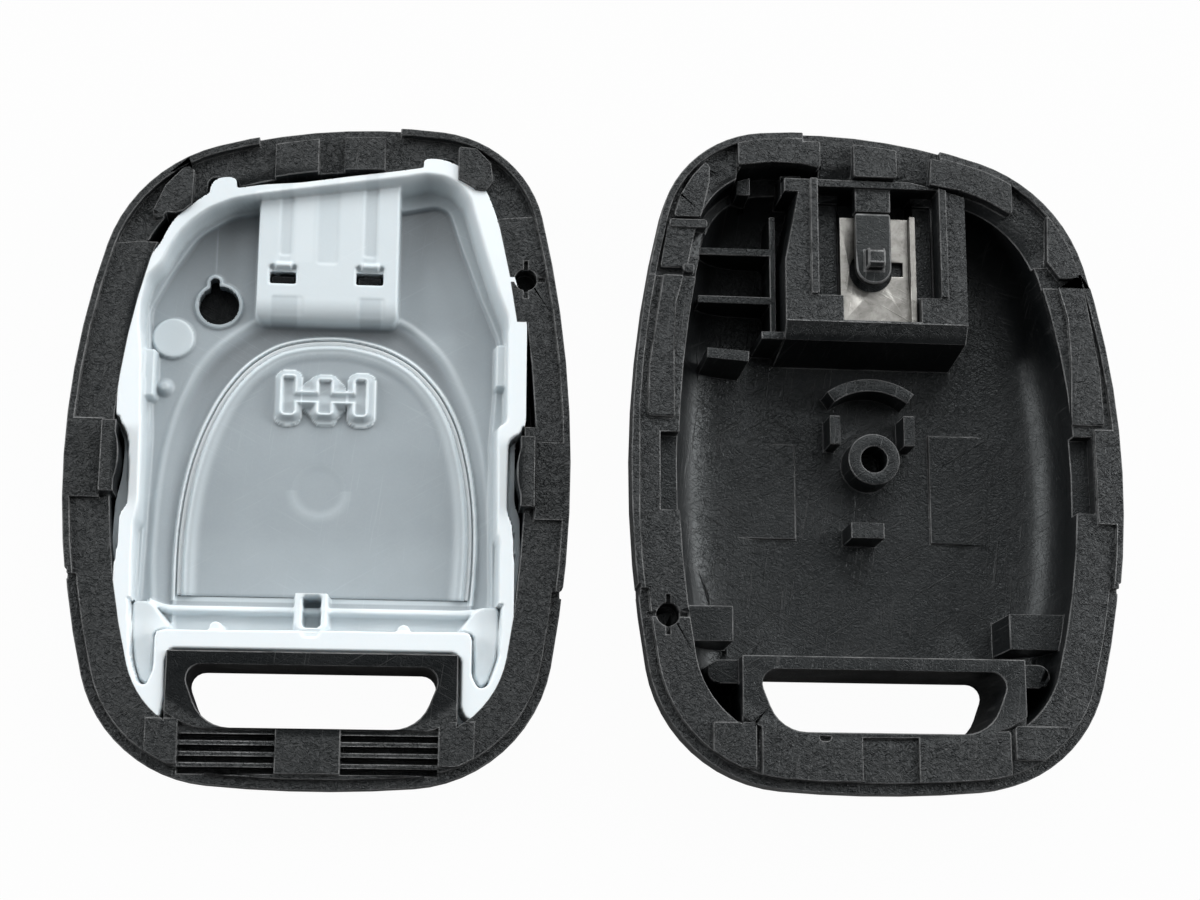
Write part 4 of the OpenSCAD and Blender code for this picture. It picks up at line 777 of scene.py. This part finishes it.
def field_surface(x, y):
    """Height and milkiness of the key field: a bead along its edge, a soft slope down to a
    flat floor, the looped ribs of the pusher and a faint round gate mark, with painted light on
    the lower half of its ring."""
    arch = arch_in(x, y)
    z = field_edge + (field_floor + bead_rise - field_edge) * ramp(arch, 0.26, web_half)
    z = z - 0.10 * ramp(arch, 0.2, 0.48) - 0.26 * ramp(arch, 1.0, 0.65)
    z = z - 0.07 * ramp(-y, 0.2, 12.0)
    mark = np.hypot(x - mark_middle[0], y - mark_middle[1])
    z = z - 0.05 * ramp(2.45 - mark, 0.9, 0.0)
    ridge = boxes_in(x, y, *pusher_ribs)
    base = np.maximum(boxes_in(x, y, *pusher_ends), depth_in(x, y, pusher_middle))
    rise = np.clip(1 + ridge / 0.42, 0, 1)
    z = lifted(z, base, pusher_foot, 0.14, -0.03)
    z = np.where(base > 0, np.maximum(z, pusher_foot + (rib_top - pusher_foot) * rise), z)
    loop_inside = np.maximum(rib_top - 0.5, rib_top - (ridge - 0.16) * 7)
    z = np.where(ridge > 0.16, np.minimum(z, loop_inside), z)
    milk_and_shading = np.interp(z, field_milk_heights, field_milk_levels)
    pusher_milk = np.where(ridge > 0.24, 0.48, np.maximum(0.52, 0.92 * lump(ridge, 0.1, 0.24)))
    milk_and_shading = np.where(base > 0.1, pusher_milk, milk_and_shading)
    milk_and_shading = np.maximum(milk_and_shading, 0.85 * lump(base, 0.02, 0.1))
    milk_and_shading = np.where(arch < 1.6, np.maximum(milk_and_shading, 0.74 * (1 - ramp(arch, 0.85, 0.25))), milk_and_shading)
    milk_and_shading = milk_and_shading + 0.07 * lump(arch, 0.95, 0.5) - 0.05 * ramp(y, 6.0, 3.0) * (z < 2.5)
    # painted light: the lower half of the gate mark's ring is made paler
    lower_ring = lump(mark, mark_radius, 0.7) * (y < mark_middle[1])
    milk_and_shading = milk_and_shading + 0.06 * lower_ring + 0.02 * (mark < mark_radius)
    milk_and_shading = milk_and_shading + 0.04 * ramp(-y, 3.0, 6.0) * (z < 2.5)
    return z, np.clip(milk_and_shading, 0, 1)


field = pressed_sheet("silicone_key_field", field_in, field_surface, (-11.6, 12.9),
                      (arch_foot, 10.1), field_base)
field.data.materials.append(silicone)
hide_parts("seal_key_field")
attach(field, "key")

# Web of the groove. The thin silicone at the bottom of the groove, cast with the seal: it
# joins the seal to its key field.
web_milk = 0.72
# Its profile is carried round the arch and gives the offset outwards and the level.
web_profile = ((0.17, 2.4), (0.06, 2.38), (-0.06, 2.34), (-0.17, 2.3),
               (-0.17, 2.26), (-0.06, 2.3), (0.06, 2.34), (0.17, 2.36))
web_points = arch_outline[arch_outline[:, 1] > arch_foot]
web_points = np.vstack([[web_points[0, 0], arch_foot], web_points, [web_points[-1, 0], arch_foot]])
along = np.gradient(web_points, axis=0)
outward = np.stack([-along[:, 1], along[:, 0]], 1) / np.linalg.norm(along, axis=1, keepdims=True)
web_rows = []
for offset, level in web_profile:
    row = web_points + outward * offset
    web_rows.append(np.column_stack([row + [seal_x, 0], np.full(len(row), level)]))
rows, count = len(web_rows), len(web_points)
index = np.arange(rows * count).reshape(rows, count)
next_row = np.roll(index, -1, 0)
quads = [index[:, :-1], index[:, 1:], next_row[:, 1:], next_row[:, :-1]]
quads = np.stack(quads, -1).reshape(-1, 4)
web_mesh = bpy.data.meshes.new("silicone_groove_web")
web_mesh.from_pydata((np.concatenate(web_rows) * mm).tolist(), [],
                     quads.tolist() + [index[:, 0].tolist(), index[::-1, -1].tolist()])
tone = web_mesh.attributes.new("milk_and_shading", "FLOAT", "POINT")
tone.data.foreach_set("value", np.full(rows * count, web_milk, np.float32))
shape = bmesh.new()
shape.from_mesh(web_mesh)
bmesh.ops.recalc_face_normals(shape, faces=shape.faces)
shape.to_mesh(web_mesh)
shape.free()
web_mesh.shade_smooth()
web = bpy.data.objects.new("silicone_groove_web", web_mesh)
bpy.context.scene.collection.objects.link(web)
web_mesh.materials.append(silicone)
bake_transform(web)

# Steel plate under the latch. Bright spring steel, blanked and bent, with brushed streaks,
# small stains and a small eased edge.
bright_steel = (0.38, 0.375, 0.355, 1)
stained_steel = (0.15, 0.145, 0.135, 1)
steel = bpy.data.materials.new("stained spring steel")
steel.use_nodes = True
tree = steel.node_tree
shell = tree.nodes["Principled BSDF"]
shell.inputs["Metallic"].default_value = 1.0
brushed = noise(tree, 0.35 * mm, 3.0, 0.6, 0.0, (1, 0.06, 1), 0.12)
stain = noise(tree, 1.6 * mm, 4.0, 0.65, 0.5)
fleck = band(tree, noise(tree, 0.5 * mm, 3.0, 0.7), 0.56, 0.72)
lines = placed(tree, hair_group, Amount=1.0)["Mask"]
mottle = sum_of(tree, "MULTIPLY", band(tree, stain, 0.3, 0.7), 0.7)
mottle = added(tree, mottle, fleck, 0.3)
shade = wire(tree, "ShaderNodeMix", {"Factor": mottle, "A": bright_steel, "B": stained_steel},
             data_type="RGBA")["Result"]
tree.links.new(shade, shell.inputs["Base Color"])
rough = added(tree, added(tree, 0.26, mottle, 0.2), brushed, 0.1)
tree.links.new(rough, shell.inputs["Roughness"])
relief = sum_of(tree, "ADD", sum_of(tree, "MULTIPLY", brushed, 0.5), sum_of(tree, "ADD", stain, lines))
bump = wire(tree, "ShaderNodeBump", {"Strength": 0.6, "Distance": 0.02 * mm, "Height": relief})[0]
tree.links.new(bump, shell.inputs["Normal"])
dress("blade_plate", "plate_steel", 0.06 * mm, steel)
